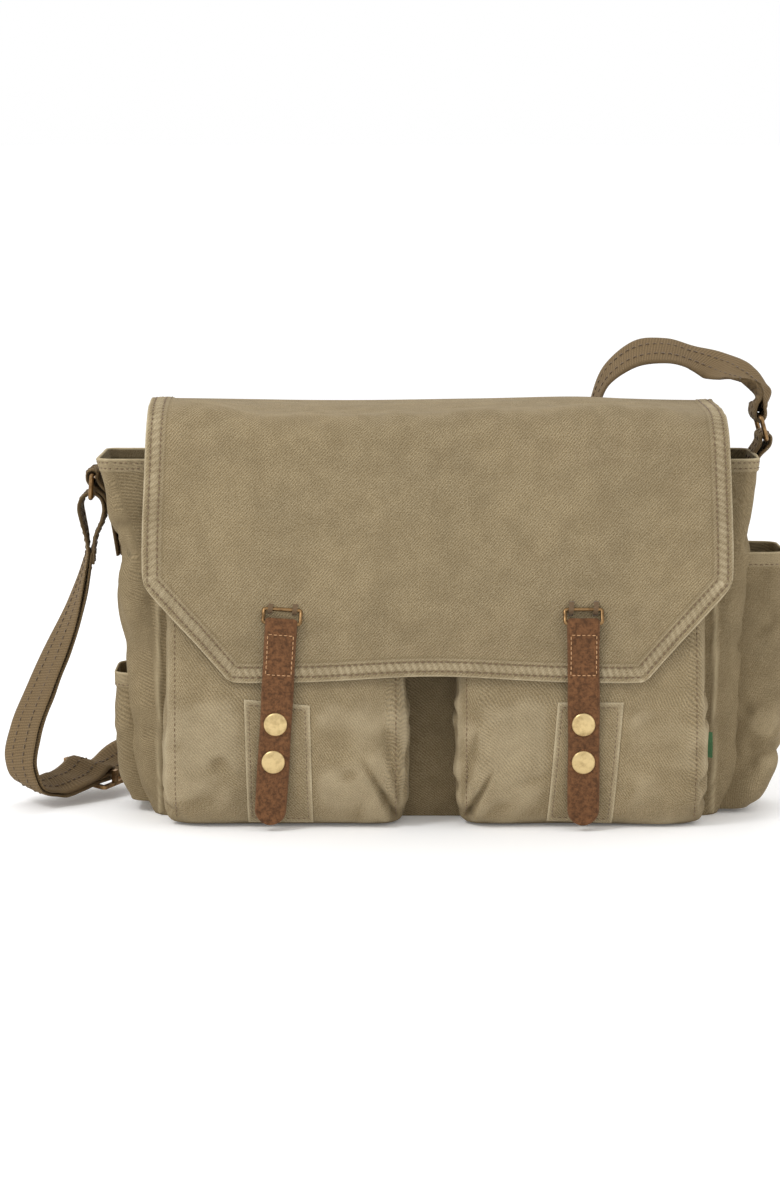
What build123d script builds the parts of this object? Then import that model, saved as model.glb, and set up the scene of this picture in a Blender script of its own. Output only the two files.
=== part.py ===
"""A canvas messenger bag with a draped flap, two suede closure straps with press studs, two cargo pockets,
two side pockets and a webbing shoulder strap.

Frame: millimetres, +Z up, +X to the wearer's left as seen from the front, -Y towards the front.
The origin is the centre of the base panel, on the surface that the bag stands on.
"""

import os
from math import asin, degrees

from build123d import *

# ---------------------------------------------------------------- driving dimensions
CANVAS = 1.6  # wall of the main compartment
BASE_THICKNESS = 2.0
MOUTH_HEIGHT = 250.0  # top of the front panel and the gussets
BACK_HEIGHT = 266.0  # top of the back panel, where the flap is sewn on
SEAM_X = 186.0  # where the front and back panels meet the gussets
MID_Y = 15.0  # halfway between the front and back panels
HEM_HEIGHT = 8.0
HEM_THICKNESS = 1.4
WELT_WIDTH = 3.0
WELT_THICKNESS = 2.2

# Main compartment, one row per height: z, reach to -X, reach to +X, front y, back y, corner radius.
BODY_SECTIONS = [
    (0, 190, 190, -23, 53, 16),
    (14, 197, 197, -26, 56, 18),
    (70, 204, 204, -27, 59, 20),
    (140, 208, 207, -27, 59, 20),
    (200, 211, 208, -26, 58, 14),
    (240, 218, 211, -25, 57, 10),
    (BACK_HEIGHT, 225, 214, -24, 55, 10),
]

# Cargo pockets
POCKET_GAP_X = -4.0  # centre of the gap between the two cargo pockets
POCKET_GAP = 34.0
POCKET_LEFT_X = -178.0
POCKET_RIGHT_X = 176.0
POCKET_TOP = 200.0
POCKET_CANVAS = 1.4
POCKET_CORNER = 12.0
POCKET_FRONT_LIP = 7.0  # depth of the pocket's front panel before its gusset begins
# One row per height: z, inset at each side, front y.
POCKET_SECTIONS = [
    (1.0, 6.0, -52.0),
    (9.0, 1.0, -62.0),
    (24.0, 0.0, -67.5),
    (55.0, 0.0, -69.8),
    (98.0, 0.0, -66.8),
    (135.0, 0.0, -60.5),
    (170.0, 0.0, -52.5),
    (POCKET_TOP, 1.0, -44.0),
]

# Snap patches and closure straps
PATCH_WIDTH = 43.0
PATCH_BOTTOM = 4.0
PATCH_TOP = 85.0
PATCH_THICKNESS = 1.0
CLOSURE_X = {"left": -101.0, "right": 95.0}
CLOSURE_TOE_X = {"left": -110.0, "right": 95.5}
PATCH_X = {"left": -104.0, "right": 97.0}
SNAP_HEIGHTS = (71.5, 46.5)
LEATHER = 2.0
CLOSURE_WIDTH = 21.0
CLOSURE_TOE_Z = 4.0
CLOSURE_FRONT_Y = -75.5
FOLD_END_Z = 101.0  # where the strap's folded-back layer ends
SNAP_CAP_RADIUS = 7.6
SOCKET_RADIUS = 6.0
SOCKET_BORE = 4.7
STUD_RADIUS = 3.1
STUD_FLANGE_RADIUS = 5.0
POST_RADIUS = 1.5

# Rectangular loops on the flap
LOOP_WIRE = 2.4
LOOP_INNER_WIDTH = 21.8
LOOP_TOP = (-68.9, 146.5)  # y, z of the sewn bar
LOOP_BOTTOM = (-73.5, 138.0)  # y, z of the bar that the leather wraps
TACK_X = 8.0
TACK_WIDTH = 2.6

# Flap
FLAP_HALF_WIDTH = 193.0
FLAP_OUTER = 1.2
FLAP_LINING = 1.0
FLAP_HINGE = (54.5, 268.8)  # y, z
FLAP_REAR_Z = 266.5
FLAP_TOP_Z = 274.2
FLAP_REAR_RADIUS = 4.0
FLAP_BEND_RADIUS = 24.0
FLAP_BEND = (-36.0, FLAP_TOP_Z - FLAP_BEND_RADIUS)  # y, z of the centre of its front bend
FLAP_HEM_Z = 98.0
FLAP_HEM_Y = -69.6
FLAP_SIDE_Z = 161.0  # where the side edge turns into the slanting corner
FLAP_CORNER_X = 136.0
FLAP_CORNER_RADIUS = 6.0
FACING_WIDTH = 12.0
FOLD_GAP = 0.3

# Shoulder strap
WEB_WIDTH = 38.0
WEB = 2.4
LEFT_TAB_Y = 28.0
RIGHT_TAB_Y = 36.0
RING_WIRE = 3.2
RING_INNER_WIDTH = 39.6
LEFT_TAB_LOOP = (-231.0, 226.0)  # x, z of the fold that holds the ring
LEFT_RING_LOW = (-232.0, 211.0)
RIGHT_TAB_LOOP = (222.0, 250.0)
RIGHT_RING_HIGH = (218.0, 264.5)
END_LOOP_TOP = 271.8
TAB_BORE = 2.0  # inside radius of a fold round a ring's bar
TEARDROP_RADIUS = 10.0
TEARDROP_Z = 205.4
TEARDROP_TIP = (-234.5, 181.0)
SLIDER_CENTRE = (-238.0, 50.0, 15.0)  # the webbing's middle where the slider holds it
SLIDER_ALONG = (0.55, 0.83, 0.1)  # the way the webbing runs through it
SLIDER_ACROSS = (0.83, -0.55, -0.1)
SLIDER_LENGTH = 26.0
SLIDER_WIRE = 2.6
SLIDER_TRAVEL = 8.0
SEWN_TAIL = 14.0
LAYER_STEP = 4.0  # between the two layers of the doubled part
RUN_GAP = 0.4  # between a swinging loop and the webbing below it

# The webbing's middle line, with the direction from its rear edge to its front edge at each point.
DRAPE_ROUTE = [
    ((-236, 28, 176), (0.08, -1, 0)),
    ((-239, 28, 160), (0.15, -0.98, 0)),
    ((-246, 26, 136), (0.3, -0.95, 0)),
    ((-258, 20, 106), (0.48, -0.87, 0)),
    ((-268, 14, 82), (0.52, -0.85, -0.02)),
    ((-279, 7, 52), (0.55, -0.82, -0.08)),
    ((-282, 4, 30), (0.6, -0.78, -0.14)),
    ((-277, 8, 15), (0.68, -0.7, -0.18)),
    ((-266, 18, 10), (0.77, -0.6, -0.14)),
    ((-252.63, 27.94, 12.34), SLIDER_ACROSS),
    ((-251.53, 29.6, 12.54), SLIDER_ACROSS),
]
FLOOR_ROUTE = [
    ((-251.2, 30.1, 12.6), SLIDER_ACROSS),
    ((-250.1, 31.76, 12.8), SLIDER_ACROSS),
    ((-224.8, 69.9, 17.4), SLIDER_ACROSS),
    ((-214, 82, 20), (0.7, -0.5, -0.5)),
    ((-199, 90, 21), (0.35, -0.3, -0.88)),
    ((-178, 93, 21), (0.05, -0.08, -1)),
    ((-100, 93, 21), (0, -0.05, -1)),
    ((-20, 93, 22), (0.03, -0.08, -1)),
]
BACK_ROUTE = [
    ((-19.6, 93, 22), (0.03, -0.08, -1)),
    ((-12, 93, 22.1), (0.03, -0.08, -1)),
    ((38, 93, 34), (0.25, -0.12, -0.96)),
    ((78, 92, 68), (0.66, -0.35, -0.66)),
    ((99, 89, 122), (0.72, -0.68, -0.2)),
    ((106, 86, 186), (0.4, -0.91, -0.05)),
]
ARCH_ROUTE = [
    ((106, 86, 186.4), (0.4, -0.91, -0.05)),
    ((107, 82, 230), (0.2, -0.98, 0)),
    ((110, 80, 268), (0.1, -0.99, -0.05)),
    ((119, 78, 296), (0.03, -0.95, -0.3)),
    ((138, 76, 313), (0, -0.91, -0.41)),
    ((160, 76, 315), (0, -0.91, -0.41)),
    ((178, 77.5, 308), (-0.05, -0.91, -0.41)),
    ((195, 78, 301), (-0.1, -0.9, -0.42)),
    ((207.5, 66, 296), (-0.4, -0.88, -0.25)),
    ((212, 50, 291), (-0.5, -0.86, 0)),
    ((217, 40, 285), (-0.25, -0.97, 0)),
    ((218, 36, 279), (0, -1, 0)),
    ((218, 36, 273.2), (0, -1, 0)),
]

# Side pockets: z, reach in x, front y, back y
LEFT_SIDE_SECTIONS = [
    (8.0, 206.0, -12.0, 42.0),
    (30.0, 212.5, -14.0, 44.0),
    (65.0, 215.5, -14.0, 44.0),
    (95.0, 216.0, -13.0, 43.0),
]
RIGHT_SIDE_SECTIONS = [
    (3.0, 211.0, -14.0, 44.0),
    (16.0, 222.0, -17.0, 47.0),
    (60.0, 230.5, -19.0, 49.0),
    (120.0, 234.0, -18.0, 48.0),
    (177.0, 233.0, -16.0, 46.0),
]
SIDE_POCKET_CANVAS = 1.3
SIDE_POCKET_CORNER = 12.0
FAR = 1200.0  # larger than the whole bag


# ---------------------------------------------------------------- helpers
def body_block(grow):
    """The main compartment as one solid, with its walls moved outwards by grow."""
    with BuildPart() as block:
        for z, left, right, front, back, corner in BODY_SECTIONS:
            with BuildSketch(Plane.XY.offset(z)):
                with Locations(((right - left) / 2, (front + back) / 2)):
                    RectangleRounded(left + right + 2 * grow, back - front + 2 * grow, corner + grow)
        loft()
    return block.part


def box_between(low, high):
    """A box from its lowest corner to its highest one."""
    with BuildPart() as block:
        with Locations(tuple((a + b) / 2 for a, b in zip(low, high))):
            Box(*(b - a for a, b in zip(low, high)))
    return block.part


def pocket_block(x_low, x_high, grow_side, grow_front):
    """A cargo pocket as one solid, which reaches into the main compartment."""
    with BuildPart() as block:
        for z, inset, front in POCKET_SECTIONS:
            low, high = x_low + inset - grow_side, x_high - inset + grow_side
            back = 0.0
            with BuildSketch(Plane.XY.offset(z)):
                with Locations(((low + high) / 2, (front - grow_front + back) / 2)):
                    RectangleRounded(high - low, back - front + grow_front, POCKET_CORNER + grow_side)
        loft()
    return block.part


def pocket_splitter():
    """Everything behind the strip where a cargo pocket's front panel is sewn to its gusset."""
    with BuildPart() as block:
        for z, _, front in POCKET_SECTIONS:
            low_y = front + POCKET_FRONT_LIP
            with BuildSketch(Plane.XY.offset(z)):
                with Locations((0, (low_y + 20.0) / 2)):
                    Rectangle(FAR, 20.0 - low_y)
        loft()
    return block.part


def side_block(sections, sign, grow):
    """A side pocket as one solid, which reaches into the main compartment."""
    with BuildPart() as block:
        for z, reach, front, back in sections:
            near, far = 180.0, reach + grow
            with BuildSketch(Plane.XY.offset(z)):
                with Locations((sign * (near + far) / 2, (front + back) / 2)):
                    RectangleRounded(far - near, back - front + 2 * grow, SIDE_POCKET_CORNER + grow)
        loft()
    return block.part


def flap_layer(inner, outer):
    """A layer of the flap between two offsets from its middle surface, from the hinge to the hem."""
    with BuildPart() as layer:
        with BuildSketch(Plane.YZ):
            with BuildLine():
                ends = []
                for shift in (inner, outer):
                    rear_centre = (FLAP_HINGE[0] - FLAP_REAR_RADIUS, FLAP_TOP_Z - FLAP_REAR_RADIUS)
                    seam = Line((FLAP_HINGE[0] + shift, FLAP_REAR_Z), (FLAP_HINGE[0] + shift, rear_centre[1]))
                    CenterArc(rear_centre, FLAP_REAR_RADIUS + shift, 0, 90)
                    Line((rear_centre[0], FLAP_TOP_Z + shift), (FLAP_BEND[0], FLAP_TOP_Z + shift))
                    CenterArc(FLAP_BEND, FLAP_BEND_RADIUS + shift, 90, 90)
                    bend_y = FLAP_BEND[0] - FLAP_BEND_RADIUS - shift
                    front = Line((bend_y, FLAP_BEND[1]), (FLAP_HEM_Y - shift, FLAP_HEM_Z))
                    ends.append((seam @ 0, front @ 1))
                Line(ends[0][0], ends[1][0])
                Line(ends[0][1], ends[1][1])
            make_face()
        extrude(amount=FLAP_HALF_WIDTH + 10, both=True)
    return layer.part


def flap_outline(inset):
    """The flap's shape seen from the front, drawn in by inset, as a prism along Y."""
    half, low = FLAP_HALF_WIDTH - inset, FLAP_HEM_Z + inset
    corner_x, side_z = FLAP_CORNER_X - inset * 0.41, FLAP_SIDE_Z + inset * 0.45
    with BuildPart() as prism:
        with BuildSketch(Plane.XZ) as outline:
            with BuildLine():
                Polyline(
                    (-half, 300),
                    (-half, side_z),
                    (-corner_x, low),
                    (corner_x, low),
                    (half, side_z),
                    (half, 300),
                    close=True,
                )
            make_face()
            fillet(outline.vertices().sort_by(Axis.Y)[:4], FLAP_CORNER_RADIUS)
        extrude(amount=150, both=True)
    return prism.part


def ribbon(route, thickness=WEB, lift=0.0, width=WEB_WIDTH):
    """Flat webbing along a route of (point, direction across), lifted off it by lift on its outer face."""
    points = [Vector(*p) for p, _ in route]
    with BuildPart() as web:
        for i, (_, across) in enumerate(route):
            before, after = points[max(i - 1, 0)], points[min(i + 1, len(points) - 1)]
            along = (after - before).normalized()
            side = Vector(*across)
            side = (side - along * side.dot(along)).normalized()
            up = along.cross(side)
            with BuildSketch(Plane(origin=points[i] + up * lift, x_dir=side, z_dir=along)):
                Rectangle(width, thickness)
        loft(ruled=True)
    return web.part


def save(solid, name):
    """Label a solid and write it to parts."""
    solid.label = name
    export_step(solid, f"parts/{name}.step")


def slab(low_z, high_z, low_x=-FAR, high_x=FAR, low_y=-FAR, high_y=FAR):
    """A box between the given planes, for cutting a solid down to one panel."""
    return box_between((low_x, low_y, low_z), (high_x, high_y, high_z))


def trimmed(block, region):
    """The part of a block that lies inside a region."""
    with BuildPart() as piece:
        add(block)
        add(region, mode=Mode.INTERSECT)
    return piece.part


os.makedirs("parts", exist_ok=True)

# ---------------------------------------------------------------- main compartment
with BuildPart() as shell:
    add(body_block(0))
    add(trimmed(body_block(-CANVAS), slab(BASE_THICKNESS, FAR)), mode=Mode.SUBTRACT)

PANELS = {
    "base_panel": slab(0, BASE_THICKNESS),
    "front_panel": slab(BASE_THICKNESS, MOUTH_HEIGHT, -SEAM_X, SEAM_X, -FAR, MID_Y),
    "back_panel": slab(BASE_THICKNESS, BACK_HEIGHT, -SEAM_X, SEAM_X, MID_Y, FAR),
    "left_gusset": slab(BASE_THICKNESS, MOUTH_HEIGHT, -FAR, -SEAM_X),
    "right_gusset": slab(BASE_THICKNESS, MOUTH_HEIGHT, SEAM_X, FAR),
}
for panel_name, region in PANELS.items():
    with BuildPart() as panel:
        add(shell.part)
        add(region, mode=Mode.INTERSECT)
    save(panel.part, panel_name)

# Folded hems round the mouth, and piped seams up the four corners
HEMS = {
    "front_mouth_hem": slab(MOUTH_HEIGHT - HEM_HEIGHT, MOUTH_HEIGHT, -SEAM_X, SEAM_X, -FAR, MID_Y),
    "left_gusset_hem": slab(MOUTH_HEIGHT - HEM_HEIGHT, MOUTH_HEIGHT, -FAR, -SEAM_X),
    "right_gusset_hem": slab(MOUTH_HEIGHT - HEM_HEIGHT, MOUTH_HEIGHT, SEAM_X, FAR),
}
for hem_name, region in HEMS.items():
    with BuildPart() as hem:
        add(body_block(HEM_THICKNESS))
        add(body_block(0), mode=Mode.SUBTRACT)
        add(region, mode=Mode.INTERSECT)
    save(hem.part, hem_name)

WELT_TOP = MOUTH_HEIGHT - HEM_HEIGHT
for side, sign in (("left", -1), ("right", 1)):
    low_x, high_x = sorted((sign * (SEAM_X - WELT_WIDTH), sign * SEAM_X))
    for face, low_y, high_y in (("front", -FAR, MID_Y), ("back", MID_Y, FAR)):
        with BuildPart() as welt:
            add(body_block(WELT_THICKNESS))
            add(body_block(0), mode=Mode.SUBTRACT)
            add(slab(3.0, WELT_TOP, low_x, high_x, low_y, high_y), mode=Mode.INTERSECT)
        save(welt.part, f"{side}_{face}_welt")


# ---------------------------------------------------------------- closure straps' own frame
def closure_place(side):
    """Moves a solid drawn with the sewn bar's middle at x=0, z=0 to its place, leaning as the strap does."""
    drop = LOOP_TOP[1] - CLOSURE_TOE_Z
    lean = (CLOSURE_TOE_X[side] - CLOSURE_X[side]) / drop
    return Location((CLOSURE_X[side], 0, LOOP_TOP[1]), (0, -degrees(asin(lean)), 0))


def snap_point(side, down):
    """x, z of the snap that lies down below the sewn bar, along the leaning strap."""
    spot = closure_place(side) * Location((0, 0, -down))
    return spot.position.X, spot.position.Z


# ---------------------------------------------------------------- cargo pockets, patches and studs
POCKETS = {
    "left": (POCKET_LEFT_X, POCKET_GAP_X - POCKET_GAP / 2),
    "right": (POCKET_GAP_X + POCKET_GAP / 2, POCKET_RIGHT_X),
}
for side, (x_low, x_high) in POCKETS.items():
    outer = pocket_block(x_low, x_high, 0, 0)
    hollow = pocket_block(x_low, x_high, -POCKET_CANVAS, -POCKET_CANVAS)
    with BuildPart() as pocket:
        add(outer)
        add(trimmed(hollow, slab(POCKET_SECTIONS[0][0] + POCKET_CANVAS, FAR)), mode=Mode.SUBTRACT)
        add(body_block(0), mode=Mode.SUBTRACT)
    holes = [snap_point(side, LOOP_TOP[1] - height) for height in SNAP_HEIGHTS]
    with BuildPart() as pocket_front:
        add(pocket.part)
        add(pocket_splitter(), mode=Mode.SUBTRACT)
        with Locations([(x, -60, z) for x, z in holes]):
            Cylinder(POST_RADIUS, 60, rotation=(90, 0, 0), mode=Mode.SUBTRACT)
    save(pocket_front.part, f"{side}_pocket_front")
    with BuildPart() as pocket_gusset:
        add(pocket.part)
        add(pocket_splitter(), mode=Mode.INTERSECT)
    save(pocket_gusset.part, f"{side}_pocket_gusset")
    with BuildPart() as pocket_hem:
        add(pocket_block(x_low, x_high, 1.0, 1.0))
        add(outer, mode=Mode.SUBTRACT)
        add(body_block(0), mode=Mode.SUBTRACT)
        add(slab(POCKET_TOP - 10, POCKET_TOP), mode=Mode.INTERSECT)
    save(pocket_hem.part, f"{side}_pocket_hem")
    patched = pocket_block(x_low, x_high, 0, PATCH_THICKNESS)
    half_patch = PATCH_WIDTH / 2
    with BuildPart() as patch:
        add(patched)
        add(outer, mode=Mode.SUBTRACT)
        add(
            slab(PATCH_BOTTOM, PATCH_TOP, PATCH_X[side] - half_patch, PATCH_X[side] + half_patch, -FAR, -48),
            mode=Mode.INTERSECT,
        )
        with Locations([(x, -60, z) for x, z in holes]):
            Cylinder(POST_RADIUS, 60, rotation=(90, 0, 0), mode=Mode.SUBTRACT)
    save(patch.part, f"{side}_snap_patch")
    with BuildPart() as inner_flanges:
        with Locations([(x, -66.0, z) for x, z in holes]):
            Cylinder(STUD_FLANGE_RADIUS, 4.0, rotation=(90, 0, 0))
        add(hollow, mode=Mode.INTERSECT)
    with BuildPart() as studs:
        with Locations([(x, -67.5, z) for x, z in holes]):
            Cylinder(STUD_FLANGE_RADIUS, 8.0, rotation=(90, 0, 0))
        add(patched, mode=Mode.SUBTRACT)
        with Locations([(x, -69.35, z) for x, z in holes]):
            Cylinder(STUD_RADIUS, 7.3, rotation=(90, 0, 0))
        add(patched, mode=Mode.SUBTRACT)
        add(inner_flanges.part)
        with Locations([(x, -68.0, z) for x, z in holes]):
            Cylinder(POST_RADIUS, 6.0, rotation=(90, 0, 0))
    save(studs.part, f"{side}_snap_studs")

# ---------------------------------------------------------------- side pockets
for side, sign, sections in (("left", -1, LEFT_SIDE_SECTIONS), ("right", 1, RIGHT_SIDE_SECTIONS)):
    outer = side_block(sections, sign, 0)
    cavity = side_block(sections, sign, -SIDE_POCKET_CANVAS)
    bottom, top = sections[0][0], sections[-1][0]
    with BuildPart() as side_pocket:
        add(outer)
        add(trimmed(cavity, slab(bottom + SIDE_POCKET_CANVAS, FAR)), mode=Mode.SUBTRACT)
        add(body_block(0), mode=Mode.SUBTRACT)
    save(side_pocket.part, f"{side}_side_pocket")
    with BuildPart() as side_hem:
        add(side_block(sections, sign, 1.0))
        add(outer, mode=Mode.SUBTRACT)
        add(body_block(0), mode=Mode.SUBTRACT)
        add(slab(top - 10, top), mode=Mode.INTERSECT)
    save(side_hem.part, f"{side}_side_pocket_hem")

with BuildPart() as side_label:
    with Locations((POCKET_RIGHT_X + 0.7, -46.0, 54.0)):
        Box(1.4, 5.0, 17.0)
    add(pocket_block(*POCKETS["right"], 0, 0), mode=Mode.SUBTRACT)
save(side_label.part, "side_label")

# ---------------------------------------------------------------- flap
WHOLE_OUTLINE = flap_outline(0)
INNER_OUTLINE = flap_outline(FACING_WIDTH)
half_layer = FLAP_OUTER / 2
outer_layer = flap_layer(-half_layer, half_layer)
inner_layer = flap_layer(-half_layer - FLAP_LINING, -half_layer)
FLAP_LAYERS = {
    "flap_outer": (outer_layer, WHOLE_OUTLINE, None),
    "flap_lining": (inner_layer, INNER_OUTLINE, None),
    "flap_facing": (inner_layer, WHOLE_OUTLINE, INNER_OUTLINE),
}
for layer_name, (layer, outline, opening) in FLAP_LAYERS.items():
    for end, sign in (("front", 1), ("top", -1)):
        cut = Plane(
            origin=(0, FLAP_BEND[0] - sign * FOLD_GAP / 2, FLAP_BEND[1]),
            x_dir=(1, 0, 0),
            z_dir=(0, -sign, -sign),
        )
        with BuildPart() as flap_part:
            add(layer)
            add(outline, mode=Mode.INTERSECT)
            if opening is not None:
                add(opening, mode=Mode.SUBTRACT)
            split(bisect_by=cut, keep=Keep.TOP)
        save(flap_part.part, f"{layer_name}_{end}")

# ---------------------------------------------------------------- loops and closure straps
LOOP_WIDTH = LOOP_INNER_WIDTH + LOOP_WIRE
LOOP_DROP = LOOP_TOP[1] - LOOP_BOTTOM[1]
LEATHER_BORE = LOOP_WIRE / 2 + 0.3
TOE_DOWN = LOOP_TOP[1] - CLOSURE_TOE_Z
FOLD_DOWN = LOOP_TOP[1] - FOLD_END_Z
BACK_Y = CLOSURE_FRONT_Y + LEATHER

def wire_frame(corners, radius, wire):
    """Round wire bent into a closed ring through its corners."""
    with BuildPart() as frame:
        with BuildLine() as bend_line:
            FilletPolyline(*corners, close=True, radius=radius)
        with BuildSketch(Plane(origin=bend_line.line @ 0, z_dir=bend_line.line % 0)):
            Circle(wire / 2)
        sweep(path=bend_line.line)
    return frame.part


half_loop = LOOP_WIDTH / 2
loop_corners = [
    (-half_loop, LOOP_TOP[0], 0),
    (half_loop, LOOP_TOP[0], 0),
    (half_loop, LOOP_BOTTOM[0], -LOOP_DROP),
    (-half_loop, LOOP_BOTTOM[0], -LOOP_DROP),
]
wire_loop = wire_frame(loop_corners, 1.6, LOOP_WIRE)

with BuildPart() as tack:
    with Locations((0, LOOP_TOP[0] + 1.2, 0)):
        Box(TACK_WIDTH, 2.4, 2 * (LOOP_WIRE / 2 + 1.1))
    with Locations((0, LOOP_TOP[0], 0)):
        Cylinder(LOOP_WIRE / 2 + 1.1, TACK_WIDTH, rotation=(0, 90, 0))
        Cylinder(LOOP_WIRE / 2 + 0.3, TACK_WIDTH, rotation=(0, 90, 0), mode=Mode.SUBTRACT)

with BuildPart() as leather:
    with BuildSketch(Plane.YZ.offset(-CLOSURE_WIDTH / 2)):
        with BuildSketch():
            with Locations((LOOP_BOTTOM[0], -LOOP_DROP)):
                Circle(LEATHER_BORE + LEATHER)
            with Locations((BACK_Y, -LOOP_DROP - 7.0)):
                Rectangle(2 * LEATHER, 1.0)
            make_hull()
        with Locations((CLOSURE_FRONT_Y + LEATHER / 2, -(TOE_DOWN + LOOP_DROP + 7) / 2)):
            Rectangle(LEATHER, TOE_DOWN - LOOP_DROP - 7)
        with Locations((BACK_Y + LEATHER / 2, -(FOLD_DOWN + LOOP_DROP + 7) / 2)):
            Rectangle(LEATHER, FOLD_DOWN - LOOP_DROP - 7)
        with Locations((LOOP_BOTTOM[0], -LOOP_DROP)):
            Circle(LEATHER_BORE, mode=Mode.SUBTRACT)
    extrude(amount=CLOSURE_WIDTH)
    with BuildSketch(Plane.XZ.offset(-CLOSURE_FRONT_Y + 1)) as toe_outline:
        with Locations((0, -TOE_DOWN / 2)):
            Rectangle(CLOSURE_WIDTH, TOE_DOWN)
        fillet(toe_outline.vertices().sort_by(Axis.Y)[:2], CLOSURE_WIDTH / 2 - 0.5)
    extrude(amount=-20, mode=Mode.INTERSECT)
    with Locations([(0, BACK_Y, height - LOOP_TOP[1]) for height in SNAP_HEIGHTS]):
        Cylinder(POST_RADIUS, 3 * LEATHER, rotation=(90, 0, 0), mode=Mode.SUBTRACT)

SNAP_DROPS = [height - LOOP_TOP[1] for height in SNAP_HEIGHTS]
with BuildPart() as caps:
    with BuildSketch(Plane.XZ.offset(-CLOSURE_FRONT_Y)):
        with Locations([(0, drop) for drop in SNAP_DROPS]):
            Circle(SNAP_CAP_RADIUS)
    extrude(amount=2.2)
    fillet(caps.faces().group_by(Axis.Y)[0].edges(), 1.9)
    with Locations([(0, BACK_Y - LEATHER / 2, drop) for drop in SNAP_DROPS]):
        Cylinder(POST_RADIUS, LEATHER, rotation=(90, 0, 0))

with BuildPart() as sockets:
    with Locations([(0, BACK_Y + 0.75, drop) for drop in SNAP_DROPS]):
        Cylinder(SOCKET_RADIUS, 1.5, rotation=(90, 0, 0))
    with Locations([(0, BACK_Y + 0.9, drop) for drop in SNAP_DROPS]):
        Cylinder(SOCKET_BORE, 1.2, rotation=(90, 0, 0), mode=Mode.SUBTRACT)

for side in ("left", "right"):
    place = closure_place(side)
    save(wire_loop.moved(place), f"{side}_strap_loop")
    save(leather.part.moved(place), f"{side}_closure_strap")
    with BuildPart() as loop_tacks:
        for shift in (TACK_X, -TACK_X):
            add(tack.part.moved(place * Location((shift, 0, 0))))
        add(outer_layer, mode=Mode.SUBTRACT)
    save(loop_tacks.part, f"{side}_loop_tacks")
    save(caps.part.moved(place), f"{side}_snap_caps")
    save(sockets.part.moved(place), f"{side}_snap_sockets")


# ---------------------------------------------------------------- shoulder strap
def ring_between(high, low, y):
    """A rectangular wire ring whose bars run along Y through two points given as x, z."""
    half_ring = (RING_INNER_WIDTH + RING_WIRE) / 2
    corners = [(x, y + sign * half_ring, z) for (x, z), sign in ((high, -1), (high, 1), (low, 1), (low, -1))]
    return wire_frame(corners, 2.0, RING_WIRE)


def sewn_tab(loop, y, low, lean):
    """Webbing sewn up the gusset from low and folded over a ring's bar at loop."""
    sign = 1 if loop[0] > 0 else -1
    neck = (loop[0] - sign * lean, loop[1] - 12)
    with BuildPart() as tab:
        with BuildSketch(Plane.XZ.offset(-y - WEB_WIDTH / 2)):
            with BuildSketch():
                with Locations(loop):
                    Circle(TAB_BORE + WEB)
                with Locations(neck):
                    Circle(WEB)
                make_hull()
            with BuildSketch():
                with Locations(neck, low):
                    Circle(WEB)
                make_hull()
            with Locations(loop):
                Circle(TAB_BORE, mode=Mode.SUBTRACT)
        extrude(amount=WEB_WIDTH)
        add(body_block(0), mode=Mode.SUBTRACT)
    return tab.part


STRAP_RUNS = {
    "strap_floor_run": ribbon(FLOOR_ROUTE),
    "strap_outer_run": ribbon(DRAPE_ROUTE),
    "strap_inner_run": ribbon(DRAPE_ROUTE[:-2], lift=-LAYER_STEP),
    "strap_back_run": ribbon(BACK_ROUTE),
    "strap_arch": ribbon(ARCH_ROUTE),
}
for run_name, run in STRAP_RUNS.items():
    save(run, run_name)

save(ring_between(LEFT_TAB_LOOP, LEFT_RING_LOW, LEFT_TAB_Y), "left_strap_ring")
save(ring_between(RIGHT_RING_HIGH, RIGHT_TAB_LOOP, RIGHT_TAB_Y), "right_strap_ring")
save(sewn_tab(LEFT_TAB_LOOP, LEFT_TAB_Y, (-209.5, 172), 14), "left_ring_tab")
save(sewn_tab(RIGHT_TAB_LOOP, RIGHT_TAB_Y, (208.5, 200), 8.5), "right_ring_tab")

with BuildPart() as teardrop:
    with BuildSketch(Plane.XZ.offset(-LEFT_TAB_Y - WEB_WIDTH / 2)):
        with BuildSketch():
            with Locations((LEFT_RING_LOW[0], TEARDROP_Z)):
                Circle(TEARDROP_RADIUS)
            with Locations(TEARDROP_TIP):
                Circle(WEB + 0.8)
            make_hull()
        with BuildSketch(mode=Mode.SUBTRACT):
            with Locations((LEFT_RING_LOW[0], TEARDROP_Z)):
                Circle(TEARDROP_RADIUS - WEB)
            with Locations((TEARDROP_TIP[0], TEARDROP_TIP[1] + 4.0)):
                Circle(0.8)
            make_hull()
    extrude(amount=WEB_WIDTH)
save(teardrop.part, "strap_ring_loop")

with BuildPart() as end_loop:
    with BuildSketch(Plane.XZ.offset(-RIGHT_TAB_Y - WEB_WIDTH / 2)):
        with BuildSketch():
            with Locations(RIGHT_RING_HIGH):
                Circle(TAB_BORE + WEB)
            with Locations((RIGHT_RING_HIGH[0], END_LOOP_TOP - 0.5)):
                Rectangle(2 * WEB, 1.0)
            make_hull()
        with Locations(RIGHT_RING_HIGH):
            Circle(TAB_BORE, mode=Mode.SUBTRACT)
    extrude(amount=WEB_WIDTH)
save(end_loop.part, "strap_end_loop")

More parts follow.
